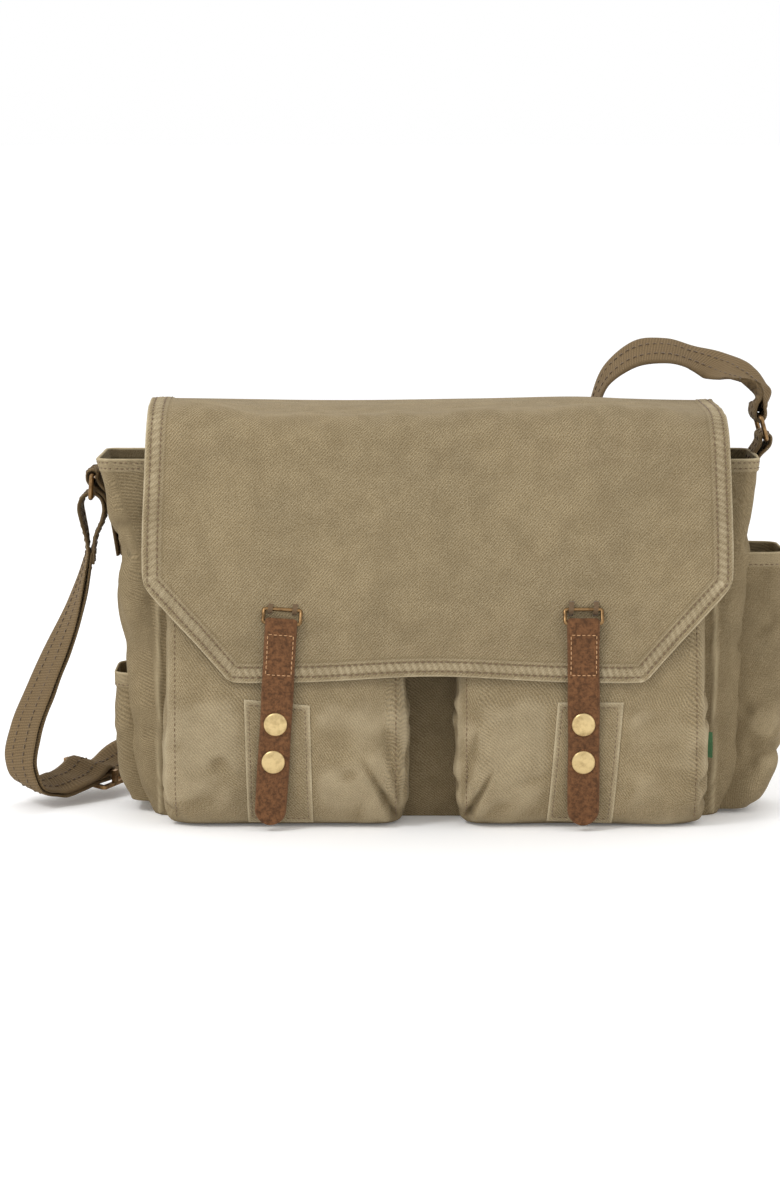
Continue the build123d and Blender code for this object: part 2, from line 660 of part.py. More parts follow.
# Slider, drawn flat with the webbing's middle plane at z=0 and the webbing running along y
slider_plane = Plane(
    origin=SLIDER_CENTRE,
    x_dir=SLIDER_ACROSS,
    z_dir=Vector(*SLIDER_ACROSS).cross(Vector(*SLIDER_ALONG)),
)
FRAME_Z = -(WEB / 2 + 0.3 + SLIDER_WIRE / 2)
BAR_Z = WEB / 2 + 0.3 + WEB + 0.3 + SLIDER_WIRE / 2
WINDOW = WEB_WIDTH + 2.0
POST_X = WINDOW / 2 + SLIDER_WIRE / 2
with BuildPart() as slider_frame:
    with Locations((0, 0, FRAME_Z)):
        Box(WINDOW + 2 * SLIDER_WIRE, SLIDER_LENGTH, SLIDER_WIRE)
        Box(WINDOW, SLIDER_LENGTH - 2 * SLIDER_WIRE, 2 * SLIDER_WIRE, mode=Mode.SUBTRACT)
    fillet(slider_frame.edges().filter_by(Axis.Z).group_by(SortBy.DISTANCE)[-1], 2.4)
    with Locations([(sign * POST_X, 0, (FRAME_Z + BAR_Z + SLIDER_WIRE / 2) / 2) for sign in (-1, 1)]):
        Box(SLIDER_WIRE, 4.0, BAR_Z + SLIDER_WIRE / 2 - FRAME_Z)
with BuildPart() as slider_bar:
    with Locations((0, 0, BAR_Z)):
        Cylinder(SLIDER_WIRE / 2, WINDOW, rotation=(0, 90, 0))
with BuildPart() as sewn_end:
    with BuildSketch(Plane.YZ.offset(-WEB_WIDTH / 2)):
        with BuildSketch():
            with Locations((0, BAR_Z)):
                Circle(SLIDER_WIRE / 2 + 0.3 + WEB)
            with Locations((-SEWN_TAIL, WEB + 1.9)):
                Rectangle(1.0, 2 * WEB)
            make_hull()
        with Locations((0, BAR_Z)):
            Circle(SLIDER_WIRE / 2 + 0.3, mode=Mode.SUBTRACT)
    extrude(amount=WEB_WIDTH)
save(slider_plane.location * slider_frame.part, "slider_frame")
save(slider_plane.location * slider_bar.part, "slider_bar")
save(slider_plane.location * sewn_end.part, "slider_sewn_end")
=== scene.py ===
"""A washed canvas messenger bag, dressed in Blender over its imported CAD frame.

Shapes are worked out in millimetres, with x to the viewer's right, y to the back and z up."""

import math

import bmesh
import bpy
import numpy as np
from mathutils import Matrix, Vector
from mathutils.bvhtree import BVHTree


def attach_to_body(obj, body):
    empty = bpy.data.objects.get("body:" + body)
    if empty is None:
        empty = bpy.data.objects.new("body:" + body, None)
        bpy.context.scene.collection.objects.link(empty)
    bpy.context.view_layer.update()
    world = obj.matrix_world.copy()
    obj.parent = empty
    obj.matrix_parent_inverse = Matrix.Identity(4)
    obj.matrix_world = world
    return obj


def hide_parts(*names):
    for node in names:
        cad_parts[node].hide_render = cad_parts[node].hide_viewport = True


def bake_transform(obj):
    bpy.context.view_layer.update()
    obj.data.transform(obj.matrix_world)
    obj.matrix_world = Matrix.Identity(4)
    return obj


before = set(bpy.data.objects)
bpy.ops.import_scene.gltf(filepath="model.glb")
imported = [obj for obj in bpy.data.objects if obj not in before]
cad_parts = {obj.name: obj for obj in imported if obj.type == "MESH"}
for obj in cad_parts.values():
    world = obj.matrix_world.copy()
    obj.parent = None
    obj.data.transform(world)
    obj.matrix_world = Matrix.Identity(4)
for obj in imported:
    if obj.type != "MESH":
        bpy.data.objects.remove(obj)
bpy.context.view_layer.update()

MM = 0.001


# ---------------------------------------------------------------- curves and noise
def smooth(x):
    """0 below 0, 1 above 1, and an S between."""
    x = np.clip(x, 0.0, 1.0)
    return x * x * (3 - 2 * x)


def bell(x, width):
    return np.exp(-((x / width) ** 2))


def spline(t, knots, values):
    """A smooth curve through values at knots."""
    knots, values = np.asarray(knots, float), np.asarray(values, float)
    slope = np.gradient(values, knots, axis=0)
    t = np.clip(t, knots[0], knots[-1])
    i = np.clip(np.searchsorted(knots, t, side="right") - 1, 0, len(knots) - 2)
    h = knots[i + 1] - knots[i]
    u = (t - knots[i]) / h
    extra = (slice(None),) * np.ndim(t) + (None,) * (values.ndim - 1)
    u, h = u[extra], h[extra]
    return (
        (2 * u**3 - 3 * u**2 + 1) * values[i]
        + (u**3 - 2 * u**2 + u) * h * slope[i]
        + (3 * u**2 - 2 * u**3) * values[i + 1]
        + (u**3 - u**2) * h * slope[i + 1]
    )


def waves(points, size, seed):
    """Smooth seeded noise of about the given wavelength, mostly between -1 and 1."""
    rng = np.random.default_rng(seed)
    total = np.zeros(points.shape[:-1])
    count = 9
    for _ in range(count):
        direction = rng.normal(size=3)
        direction *= 2 * math.pi / (size * rng.uniform(0.7, 1.5)) / np.linalg.norm(direction)
        total += np.sin(points @ direction + rng.uniform(0, 6.28))
    return total / math.sqrt(count)


def creases(points, seed, count, low, high, depth, width, length, lean=(0.0, 0.35, 1.0)):
    """Soft folds: valleys with raised shoulders along short seeded lines in the box from low to high."""
    rng = np.random.default_rng(seed)
    total = np.zeros(points.shape[:-1])
    for _ in range(count):
        centre = rng.uniform(low, high)
        along = np.asarray(lean) + rng.normal(scale=0.55, size=3)
        along /= np.linalg.norm(along)
        half = length * rng.uniform(0.4, 1.0) / 2
        offset = points - centre
        t = np.clip(offset @ along, -half, half)
        away = np.linalg.norm(offset - t[..., None] * along, axis=-1)
        fade = 1 - (t / half) ** 2 * 0.8
        w = width * rng.uniform(0.7, 1.4)
        total += depth * rng.uniform(0.4, 1.0) * fade * (bell(away, w) - 0.55 * bell(away, 2.2 * w))
    return -total


def unit(v):
    return v / np.linalg.norm(v, axis=-1, keepdims=True)


def grid_normals(p, wrap=False):
    """Unit normals of a grid of points, rows by columns."""
    du = (np.roll(p, -1, axis=1) - np.roll(p, 1, axis=1)) / 2 if wrap else np.gradient(p, axis=1)
    n = np.cross(du, np.gradient(p, axis=0))
    return n / (np.linalg.norm(n, axis=-1, keepdims=True) + 1e-9)


def path_lengths(p, axis=0):
    """Length along a grid's rows or columns, or along a single run of points."""
    step = np.linalg.norm(np.diff(p, axis=axis), axis=-1)
    pad = np.zeros_like(np.take(step, [0], axis=axis))
    return np.cumsum(np.concatenate([pad, step], axis=axis), axis=axis)


def at_lengths(where, s, values):
    """Rows of values, known at lengths s, read off at other lengths."""
    return np.stack([np.interp(where, s, column) for column in values.T], axis=-1)


def through(points, count):
    """A smooth path through points, with count points evenly spaced along it."""
    points = np.asarray(points, float)
    knots = path_lengths(points)
    fine = spline(np.linspace(0, knots[-1], 1200), knots, points)
    s = path_lengths(fine[:, :3])
    return at_lengths(np.linspace(0, s[-1], count), s, fine)


def straight(ax, ay, bx, by, n):
    """Rows of n points from a towards b, one row for each entry."""
    t = (np.arange(n) / n)[None]
    ends = ((ax, bx), (ay, by))
    return np.stack([a[:, None] * (1 - t) + b[:, None] * t for a, b in ends], -1)


def arc(cx, cy, r, start, end, n):
    """Rows of n points round an arc, one row for each entry."""
    a = np.linspace(start, end, n, endpoint=False)[None]
    return np.stack([cx[:, None] + r[:, None] * np.cos(a), cy[:, None] + r[:, None] * np.sin(a)], -1)


# ---------------------------------------------------------------- meshes
def added(name, data):
    """A new object in the scene for a mesh, a lamp or a camera."""
    obj = bpy.data.objects.new(name, data)
    bpy.context.collection.objects.link(obj)
    return obj


def fitted(obj, body, slot, *stands_for):
    """Tie a piece to its body, and hide the CAD nodes that it stands for. The slot is not used."""
    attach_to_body(obj, body)
    if stands_for:
        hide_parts(*stands_for)


def grid(name, p, wrap=False, uv=None, wear_and_highlight=None, dark=None, materials=(), face_material=None):
    """A mesh object from a grid of points in millimetres, with lengths in metres as its UV map."""
    rows, cols = p.shape[:2]
    mesh = bpy.data.meshes.new(name)
    index = np.arange(rows * cols).reshape(rows, cols)
    left, right = (index, np.roll(index, -1, axis=1)) if wrap else (index[:, :-1], index[:, 1:])
    faces = np.stack([left[:-1], right[:-1], right[1:], left[1:]], axis=-1).reshape(-1, 4)
    mesh.from_pydata((p.reshape(-1, 3) * MM).tolist(), [], faces.tolist())
    if uv is None:
        uv = np.stack([path_lengths(p, 1), path_lengths(p, 0)], axis=-1)
    flat_uv = (uv.reshape(-1, 2) * MM)[faces.reshape(-1)]
    length = uv[:, -1:, 0].mean() * MM
    if wrap and length > 0:
        # faces that close the ring get U past the end, not back at its start
        corner = flat_uv.reshape(-1, 4, 2)
        jump = corner[:, :, 0].max(axis=1) - corner[:, :, 0].min(axis=1) > length / 2
        fix = corner[jump]
        fix[:, :, 0] = np.where(fix[:, :, 0] < length / 2, fix[:, :, 0] + length, fix[:, :, 0])
        corner[jump] = fix
        flat_uv = corner.reshape(-1, 2)
    layer = mesh.uv_layers.new(name="lengths")
    layer.data.foreach_set("uv", flat_uv.reshape(-1))
    for label, values in (("wear_and_highlight", wear_and_highlight), ("dark", dark)):
        data = np.zeros(rows * cols) if values is None else np.asarray(values, float).reshape(-1)
        attribute = mesh.attributes.new(label, "FLOAT", "POINT")
        attribute.data.foreach_set("value", np.clip(data, 0, 1))
    for material in materials:
        mesh.materials.append(material)
    if face_material is not None:
        mesh.polygons.foreach_set("material_index", face_material.reshape(-1))
    mesh.polygons.foreach_set("use_smooth", [True] * len(mesh.polygons))
    mesh.update()
    return added(name, mesh)


def joined(name, objects):
    """One object from several."""
    bpy.ops.object.select_all(action="DESELECT")
    for obj in objects:
        obj.select_set(True)
    target = objects[0]
    bpy.context.view_layer.objects.active = target
    bpy.ops.object.join()
    target.name = name
    target.data.name = name
    return target


def welded(obj, distance):
    """Merge an object's doubled vertices and turn its faces outwards."""
    bm = bmesh.new()
    bm.from_mesh(obj.data)
    bmesh.ops.remove_doubles(bm, verts=bm.verts, dist=distance)
    bmesh.ops.recalc_face_normals(bm, faces=bm.faces)
    bm.to_mesh(obj.data)
    bm.free()


def stitches(name, runs, material, length=2.5, gap=1.1, radius=0.34, twist=0.0):
    """Raised thread stitches along runs of (points, normals)."""
    verts, faces = [], []
    sides = 6
    stations = np.array([0, 0.18, 0.5, 0.82, 1])
    swell = np.array([0.35, 0.9, 1.0, 0.9, 0.35])
    height = radius * np.array([-0.7, 0.35, 0.75, 0.35, -0.7])
    last = len(stations) - 1
    rng = np.random.default_rng(11)
    for points, normals in runs:
        s = path_lengths(points)
        for start in np.arange(0.4, s[-1] - length, length + gap):
            t = start + length * stations
            centre = at_lengths(t, s, points)
            normal = unit(at_lengths(t, s, normals))
            side = unit(np.cross(normal, unit(centre[-1] - centre[0])))
            thick = radius * rng.uniform(0.88, 1.12) * swell
            yaw = (np.linspace(-0.5, 0.5, 5) * twist + rng.normal(scale=0.04)) * length
            base = len(verts)
            for k in range(last + 1):
                middle = centre[k] + normal[k] * height[k] + side[k] * yaw[k]
                for j in range(sides):
                    angle = 2 * math.pi * j / sides
                    offset = side[k] * math.cos(angle) + normal[k] * math.sin(angle)
                    verts.append(middle + offset * thick[k])
            for k in range(last):
                for j in range(sides):
                    a, b = base + k * sides + j, base + k * sides + (j + 1) % sides
                    faces.append((a, b, b + sides, a + sides))
            faces.append(tuple(base + j for j in range(sides))[::-1])
            faces.append(tuple(base + last * sides + j for j in range(sides)))
    mesh = bpy.data.meshes.new(name)
    mesh.from_pydata((np.array(verts) * MM).tolist(), [], faces)
    mesh.materials.append(material)
    mesh.polygons.foreach_set("use_smooth", [True] * len(mesh.polygons))
    return added(name, mesh)


def tree_of(obj):
    """A search tree over an object's surface."""
    return BVHTree.FromObject(obj, bpy.context.evaluated_depsgraph_get())


def dropped(tree, points, direction, lift=0.0):
    """Points moved along direction onto a surface and lifted off it, with the surface's normals."""
    out, normals = points.copy(), np.zeros_like(points)
    direction = Vector(direction).normalized()
    back = np.array(direction)
    flat, flat_n = out.reshape(-1, 3), normals.reshape(-1, 3)
    last = None
    for i, p in enumerate(flat):
        hit = tree.ray_cast(Vector(p * MM) - direction * 0.06, direction, 0.12)
        if hit[0] is None:
            flat_n[i] = -back
            if last is not None:
                flat[i] = p + back * last
            continue
        normal = np.array(hit[1])
        if normal @ back > 0:
            normal = -normal
        place = np.array(hit[0]) / MM
        last = (place - p) @ back
        flat[i] = place + normal * lift
        flat_n[i] = normal
    return out, normals


def sheet_on(name, tree, start, direction, lift, thick, material, wear_and_highlight, bumps):
    """A thin closed cloth patch lying on a surface, from its grid of points before it is dropped."""
    base, _ = dropped(tree, start, direction)
    for _ in range(2):
        base[1:-1, 1:-1] = (base[:-2, 1:-1] + base[2:, 1:-1] + base[1:-1, :-2] + base[1:-1, 2:]) / 4
    normal = grid_normals(base)
    normal = normal * np.sign(-(normal @ np.array(direction)).mean())
    top = base + normal * (lift + thick + bumps)[..., None]
    low = base + normal * lift
    rim = (top + low) / 2
    ring = np.zeros(base.shape[:2], bool)
    ring[0], ring[-1], ring[:, 0], ring[:, -1] = True, True, True, True
    top[ring] = rim[ring] + normal[ring] * thick * 0.1
    low[ring] = rim[ring] - normal[ring] * thick * 0.4
    upper = grid(name, top, wear_and_highlight=wear_and_highlight, materials=[material])
    lower = grid(name + "_under", low, wear_and_highlight=wear_and_highlight, materials=[material])
    rim = np.stack([np.concatenate([a[0], a[1:, -1], a[-1, -2::-1], a[-2:0:-1, 0]]) for a in (top, low)])
    edge = grid(name + "_rim", rim, wrap=True, wear_and_highlight=np.full(rim.shape[:2], 0.9), materials=[material])
    return joined(name, [upper, lower, edge]), top, normal


def ribbon(name, points, across, width, thick, material, bulge, wave=0.0, seed=1):
    """A flat strip with rounded edges along points, with its width along across."""
    s = path_lengths(points)
    along = unit(np.gradient(points, axis=0))
    side = unit(across - (across * along).sum(-1, keepdims=True) * along)
    up = np.cross(along, side)
    half = np.broadcast_to(np.asarray(width, float) / 2, s.shape)
    count = 13
    q = np.linspace(-1, 1, count)
    top = np.stack([q, 1 - bulge * (1 - np.abs(q)) - 0.75 * np.abs(q) ** 14], axis=-1)
    section = np.concatenate([top, np.stack([q[::-1], -top[::-1, 1]], axis=-1)[1:-1]])
    cols = len(section)
    p = (
        points[:, None]
        + side[:, None] * (section[:, 0] * half[:, None])[..., None]
        + up[:, None] * (section[:, 1] * thick / 2)[None, :, None]
    )
    if wave:
        p += up[:, None] * (waves(p, 26, seed) * wave)[..., None]
    u = (section[:, 0] + 1) * half.max() + np.where(np.arange(cols) >= count, 2 * half.max() + 1, 0)
    uv = np.stack(np.broadcast_arrays(u[None], s[:, None]), axis=-1)
    wear_and_highlight = np.broadcast_to((np.abs(section[:, 0]) > 0.9)[None] * 0.5, (len(s), cols))
    obj = grid(name, p, wrap=True, uv=uv, wear_and_highlight=wear_and_highlight, materials=[material])
    bm = bmesh.new()
    bm.from_mesh(obj.data)
    bm.verts.ensure_lookup_table()
    for row in (0, len(s) - 1):
        loop = [bm.verts[row * cols + j] for j in range(cols)]
        face = bm.faces.new(loop if row else loop[::-1])
        face.smooth = False
    bmesh.ops.recalc_face_normals(bm, faces=bm.faces)
    bm.to_mesh(obj.data)
    bm.free()
    return obj, side, up


def lathe(name, profile, centre, axis, material, steps=48):
    """A turned piece: profile is (radius, height), standing along axis from centre."""
    turn = Vector((0, 0, 1)).rotation_difference(Vector(axis).normalized()).to_matrix()
    angles = np.arange(steps) * 2 * math.pi / steps
    rows = []
    for radius, height in profile:
        ring = np.stack([radius * np.cos(angles), radius * np.sin(angles), np.full(steps, height)], axis=-1)
        rows.append(ring @ np.array(turn).T + np.asarray(centre))
    obj = grid(name, np.stack(rows), wrap=True, materials=[material])
    welded(obj, 1e-6)
    return obj


# ---------------------------------------------------------------- materials
def scaled(colour, gain):
    return tuple(min(1, c * gain) for c in colour)


class Look:
    """A material in the making, with short names for its nodes. Lengths in it are in metres."""

    def __init__(self, name):
        self.material = bpy.data.materials.new(name)
        self.material.use_nodes = True
        self.tree = self.material.node_tree
        self.place = self.tree.nodes.new("ShaderNodeTexCoord").outputs["Object"]

    def wire(self, value, socket):
        """Give a socket a number, a colour or another node's output."""
        if isinstance(value, (int, float)):
            socket.default_value = value
        elif isinstance(value, tuple):
            socket.default_value = (*value, 1)
        else:
            self.tree.links.new(value, socket)

    def maths(self, operation, *values, clamp=False):
        made = self.tree.nodes.new("ShaderNodeMath")
        made.operation = operation
        made.use_clamp = clamp
        for socket, value in zip(made.inputs, values):
            self.wire(value, socket)
        return made.outputs[0]

    def plus(self, a, b):
        return self.maths("ADD", a, b)

    def minus(self, a, b):
        return self.maths("SUBTRACT", a, b)

    def times(self, a, b, clamp=False):
        return self.maths("MULTIPLY", a, b, clamp=clamp)

    def mix(self, factor, a, b):
        made = self.tree.nodes.new("ShaderNodeMix")
        made.data_type = "RGBA"
        for socket, value in zip((made.inputs[0], made.inputs[6], made.inputs[7]), (factor, a, b)):
            self.wire(value, socket)
        return made.outputs[2]

    def over(self, base, factor, amount, colour):
        """A colour laid over the base by an amount of a factor."""
        return self.mix(self.times(factor, amount), base, colour)

    def noise(self, vector, scale, detail=3.0, rough=0.55):
        made = self.tree.nodes.new("ShaderNodeTexNoise")
        for key, value in (("Vector", vector), ("Scale", scale), ("Detail", detail), ("Roughness", rough)):
            self.wire(value, made.inputs[key])
        return made.outputs["Fac"]

    def lengths(self):
        """U and V along the cloth, and both as one vector."""
        made = self.tree.nodes.new("ShaderNodeUVMap")
        made.uv_map = "lengths"
        split = self.tree.nodes.new("ShaderNodeSeparateXYZ")
        self.wire(made.outputs[0], split.inputs[0])
        return split.outputs[0], split.outputs[1], made.outputs[0]

    def wobble(self, both, scale):
        """A small sideways shift, so that woven rows aren't ruled straight."""
        return self.times(self.minus(self.noise(both, scale, 2.0), 0.5), 0.0009)

    def stripes(self, a, period):
        """0 to 1 and back once each period along a."""
        return self.maths("MULTIPLY_ADD", self.maths("SINE", self.times(a, 2 * math.pi / period)), 0.5, 0.5)

    def contrast(self, value, gain):
        """A value near 0.5, spread out round 0.5 and kept between 0 and 1."""
        return self.maths("MULTIPLY_ADD", self.minus(value, 0.5), gain, 0.5, clamp=True)

    def attribute(self, name):
        made = self.tree.nodes.new("ShaderNodeAttribute")
        made.attribute_name = name
        return made.outputs["Fac"]

    def bump(self, height, strength, distance):
        made = self.tree.nodes.new("ShaderNodeBump")
        for key, value in (("Height", height), ("Strength", strength), ("Distance", distance)):
            self.wire(value, made.inputs[key])
        return made

    def finish(self, **values):
        """Set the shader's inputs, each named with _ for a space."""
        shader = self.tree.nodes["Principled BSDF"]
        for key, value in values.items():
            self.wire(value, shader.inputs[key.replace("_", " ")])
        return self.material


def canvas(name, colour, pale_wear_and_highlight, shade, twill=0.0021, strength=0.5):
    """Washed twill canvas: diagonal weave, mottled wash, pale worn edges with a painted highlight on fold
    crests, and painted shade in recesses.
    """
    look = Look(name)
    u, v, both = look.lengths()
    rib = look.stripes(look.plus(look.plus(u, look.times(v, 0.9)), look.wobble(both, 260.0)), twill)
    cross = look.stripes(look.minus(v, u), twill * 0.62)
    weave = look.plus(look.times(rib, 0.7), look.times(cross, 0.3))
    patch = look.noise(look.place, 11.0, 5.0, 0.62)
    cloud = look.noise(look.place, 45.0, 4.0, 0.6)
    slub = look.noise(both, 1300.0, 2.0)
    fleck = look.noise(both, 1150.0, 3.0, 0.7)
    wash = look.noise(look.place, 70.0, 6.0, 0.7)
    base = look.mix(look.contrast(patch, 2.2), scaled(colour, 0.74), scaled(colour, 1.208))
    base = look.over(base, cloud, 0.35, scaled(colour, 1.18))
    base = look.over(base, look.minus(1.0, weave), 0.8, scaled(shade, 0.6))
    base = look.over(base, look.contrast(slub, 6.0), 0.42, shade)
    base = look.over(base, look.contrast(fleck, 5.0), 0.28, pale_wear_and_highlight)
    base = look.over(base, look.contrast(wash, 5.0), 0.22, shade)
    patchiness = look.plus(look.times(look.contrast(cloud, 3.0), 0.5), 0.5)
    # Pale layer: real wear on edges and seams, plus a painted highlight on the crests of folds and puckers.
    base = look.mix(look.times(look.attribute("wear_and_highlight"), patchiness, clamp=True), base, pale_wear_and_highlight)
    # Painted shade: the dark attribute darkens creases, grooves, recesses and faces turned from the light.
    base = look.over(base, look.attribute("dark"), 0.75, shade)
    crumple = look.maths("ABSOLUTE", look.minus(look.noise(look.place, 26.0, 3.0, 0.5), 0.5))
    rumple = look.bump(look.maths("MINIMUM", crumple, 0.09), 0.5, 0.009)
    height = look.plus(look.plus(weave, look.times(slub, 0.6)), look.times(cloud, 0.8))
    bump = look.bump(height, strength, 0.0006)
    look.wire(rumple.outputs[0], bump.inputs["Normal"])
    return look.finish(
        Base_Color=base,
        Normal=bump.outputs[0],
        Roughness=0.92,
        Specular_IOR_Level=0.2,
        Sheen_Weight=0.12,
        Sheen_Roughness=0.55,
        Sheen_Tint=pale_wear_and_highlight,
    )


def webbing(name, colour, dark):
    """Ribbed cotton webbing: short ribs across, herringbone rows, fuzzy edges."""
    look = Look(name)
    u, v, both = look.lengths()
    ribs = look.stripes(look.plus(look.plus(v, look.times(u, 0.18)), look.wobble(both, 300.0)), 0.0019)
    rows = look.stripes(u, 0.0023)
    weave = look.plus(look.times(ribs, 0.7), look.times(rows, 0.3))
    fibre = look.noise(both, 1200.0)
    base = look.mix(weave, scaled(colour, 0.55), scaled(colour, 1.22))
    base = look.over(base, look.noise(look.place, 22.0, 4.0), 0.5, dark)
    base = look.over(base, fibre, 0.25, scaled(colour, 1.7))
    base = look.over(base, look.attribute("wear_and_highlight"), 0.35, scaled(colour, 1.6))
    # Painted shade from the dark attribute, in the webbing's dark colour.
    base = look.over(base, look.attribute("dark"), 0.8, dark)
    bump = look.bump(look.plus(weave, look.times(fibre, 0.5)), 0.7, 0.0006)
    return look.finish(
        Base_Color=base,
        Normal=bump.outputs[0],
        Roughness=0.9,
        Specular_IOR_Level=0.2,
        Sheen_Weight=0.1,
        Sheen_Tint=(0.5, 0.38, 0.22),
    )


def suede(name, colour):
    """Brushed suede: patchy nap, fine grain, darker scuffs."""
    look = Look(name)
    nap = look.noise(look.place, 330.0, 6.0, 0.75)
    fine = look.noise(look.place, 1500.0, 3.0, 0.6)
    scuff = look.noise(look.place, 38.0, 5.0, 0.65)
    base = look.mix(look.contrast(nap, 5.0), scaled(colour, 0.4), scaled(colour, 1.35))
    base = look.over(base, fine, 0.3, scaled(colour, 1.6))
    base = look.over(base, look.times(look.minus(scuff, 0.52), 4.0, clamp=True), 0.45, scaled(colour, 0.4))
    base = look.over(base, look.attribute("wear_and_highlight"), 0.4, scaled(colour, 1.7))
    return look.finish(
        Base_Color=base,
        Normal=look.bump(look.plus(fine, nap), 0.5, 0.0004).outputs[0],
        Roughness=0.88,
        Specular_IOR_Level=0.25,
        Sheen_Weight=0.2,
        Sheen_Tint=(0.6, 0.35, 0.2),
    )


def metal(name, colour, tarnish, rough, amount):
    """Worn metal with tarnish in patches and fine scratches."""
    look = Look(name)
    patch = look.times(look.minus(look.noise(look.place, 240.0, 5.0, 0.6), 0.45), amount, clamp=True)
    return look.finish(
        Base_Color=look.mix(patch, colour, tarnish),
        Normal=look.bump(look.noise(look.place, 1400.0, 2.0), 0.15, 0.0002).outputs[0],
        Roughness=look.plus(look.times(patch, 0.3), rough),
        Metallic=1.0,
    )


def thread(name, colour):
    """Twisted sewing thread."""
    look = Look(name)
    ply = look.noise(look.place, 1800.0, 2.0)
    return look.finish(
        Base_Color=look.mix(ply, scaled(colour, 0.7), scaled(colour, 1.25)),
        Normal=look.bump(ply, 0.4, 0.0002).outputs[0],
        Roughness=0.75,
        Sheen_Weight=0.3,
    )


# The second khaki and its canvas are a darker copy of the khaki canvas: painted shade for the compartment and
# the side pockets.
KHAKI, SHADED_KHAKI, LINING_KHAKI = (0.325, 0.242, 0.126), (0.285, 0.212, 0.112), (0.25, 0.19, 0.105)
CANVAS = canvas("khaki_canvas", KHAKI, (0.66, 0.56, 0.38), (0.11, 0.075, 0.033))
SHADED = canvas("shaded_canvas", SHADED_KHAKI, (0.56, 0.46, 0.29), (0.09, 0.06, 0.026), strength=0.28)
LINING = canvas("lining_cloth", LINING_KHAKI, (0.4, 0.33, 0.2), (0.07, 0.05, 0.025), 0.0011, 0.2)
GREEN = canvas("green_tape", (0.035, 0.13, 0.05), (0.16, 0.3, 0.14), (0.01, 0.04, 0.015), 0.0009)
WEBBING = webbing("khaki_webbing", (0.185, 0.125, 0.062), (0.06, 0.036, 0.016))
SUEDE = suede("brown_suede", (0.125, 0.055, 0.022))
SNAP = metal("pale_brass", (0.66, 0.5, 0.25), (0.3, 0.2, 0.08), 0.3, 2.4)
WIRE = metal("aged_brass", (0.3, 0.18, 0.08), (0.08, 0.045, 0.02), 0.36, 3.0)
TAN_THREAD = thread("tan_thread", (0.15, 0.088, 0.036))
DARK_THREAD = thread("dark_thread", (0.1, 0.06, 0.028))
PALE_THREAD = thread("ochre_thread", (0.5, 0.27, 0.11))


# ---------------------------------------------------------------- main compartment
# z, reach to -X, reach to +X, front y, back y, corner radius
BODY = np.array(
    [
        (0, 190, 190, -23, 53, 16),
        (14, 197, 197, -26, 56, 18),
        (70, 204, 204, -27, 59, 20),
        (140, 208, 207, -27, 59, 20),
        (200, 211, 208, -26, 58, 14),
        (240, 218, 211, -25, 57, 10),
        (266, 225, 214, -24, 55, 10),
    ],
    float,
)
BODY_TOP, MOUTH_Z = BODY[-1, 0], 240.0
PANEL_SEAM_X, MOUTH_HEM, HEM_ROWS = 185, 8.6, (2.0, 5.6)
BODY_CLOTH, BASE_CLOTH = 1.9, 2.4


def rounded_rows(left, right, front, back, r, front_n, side_n, back_n, arc_n):
    """Rows of points round rounded rectangles, one row per entry, from the front left corner onwards."""
    xl, xh, yl, yh = -left, right, front, back
    quarter = math.pi / 2
    return np.concatenate(
        [
            straight(xl + r, yl, xh - r, yl, front_n),
            arc(xh - r, yl + r, r, -quarter, 0.0, arc_n),
            straight(xh, yl + r, xh, yh - r, side_n),
            arc(xh - r, yh - r, r, 0.0, quarter, arc_n),
            straight(xh - r, yh, xl + r, yh, back_n),
            arc(xl + r, yh - r, r, quarter, 2 * quarter, arc_n),
            straight(xl, yh - r, xl, yl + r, side_n),
            arc(xl + r, yl + r, r, 2 * quarter, 3 * quarter, arc_n),
        ],
        axis=1,
    )


def mouth_height(x, y):
    """Height of the mouth's edge: the back stands up inside the flap, and the gussets droop a little."""
    ax = np.abs(x)
    return MOUTH_Z + 8.5 * smooth((186 - ax) / 12) + 17 * smooth((y - 32) / 22) * smooth((189 - ax) / 14)


def body_relief(p):
    """Outward relief of the main compartment's cloth, with its piped seams and its hem."""
    x, y, z = np.moveaxis(p, -1, 0)
    side = smooth((np.abs(x) - 188) / 10)
    left, right = side * (x < 0), side * (x > 0)
    d = waves(p, 80, 3) + waves(p, 33, 4) * 0.35
    for swell, at, wide in ((-3.8, 176, 8), (-2.4, 112, 16), (2.2, 145, 17), (2.6, 203, 15)):
        d += left * swell * bell(z - at, wide)
    d += left * (-3.0 * bell(z - 176 + 0.5 * (y - 15), 5))
    d += right * (1.5 * bell(z - 215, 16) - 1.6 * bell(z - 190, 7))
    d += side * creases(p, 21, 40, (-216, -22, 15), (-196, 52, 225), 5.6, 5.0, 70)
    d += side * creases(p, 22, 30, (196, -22, 15), (216, 52, 225), 4.2, 4.0, 54, (0.0, 0.8, 0.8))
    d += (1 - side) * creases(p, 23, 26, (-180, 50, 15), (180, 60, 235), 2.8, 6.0, 90, (0.7, 0.0, 0.7))
    rim = mouth_height(x, y)
    seam = bell(np.abs(x) - PANEL_SEAM_X, 1.25) * ((y < 2) | (y > 38)) * (z < rim - 8) * (z > 2)
    hem = smooth((z - (rim - MOUTH_HEM)) / 0.9)
    stitched = bell(z - (rim - HEM_ROWS[1]), 0.7) + bell(z - (rim - HEM_ROWS[0]), 0.7) * 0.6
    ripple = np.sin((x + y) * 1.15 + waves(p, 18, 8)) * 0.18
    base = smooth(z / 12)
    return d * base * (1 - 0.5 * hem) + seam * 1.9 + hem * (0.8 + ripple) - stitched * 0.35 * hem, seam, hem


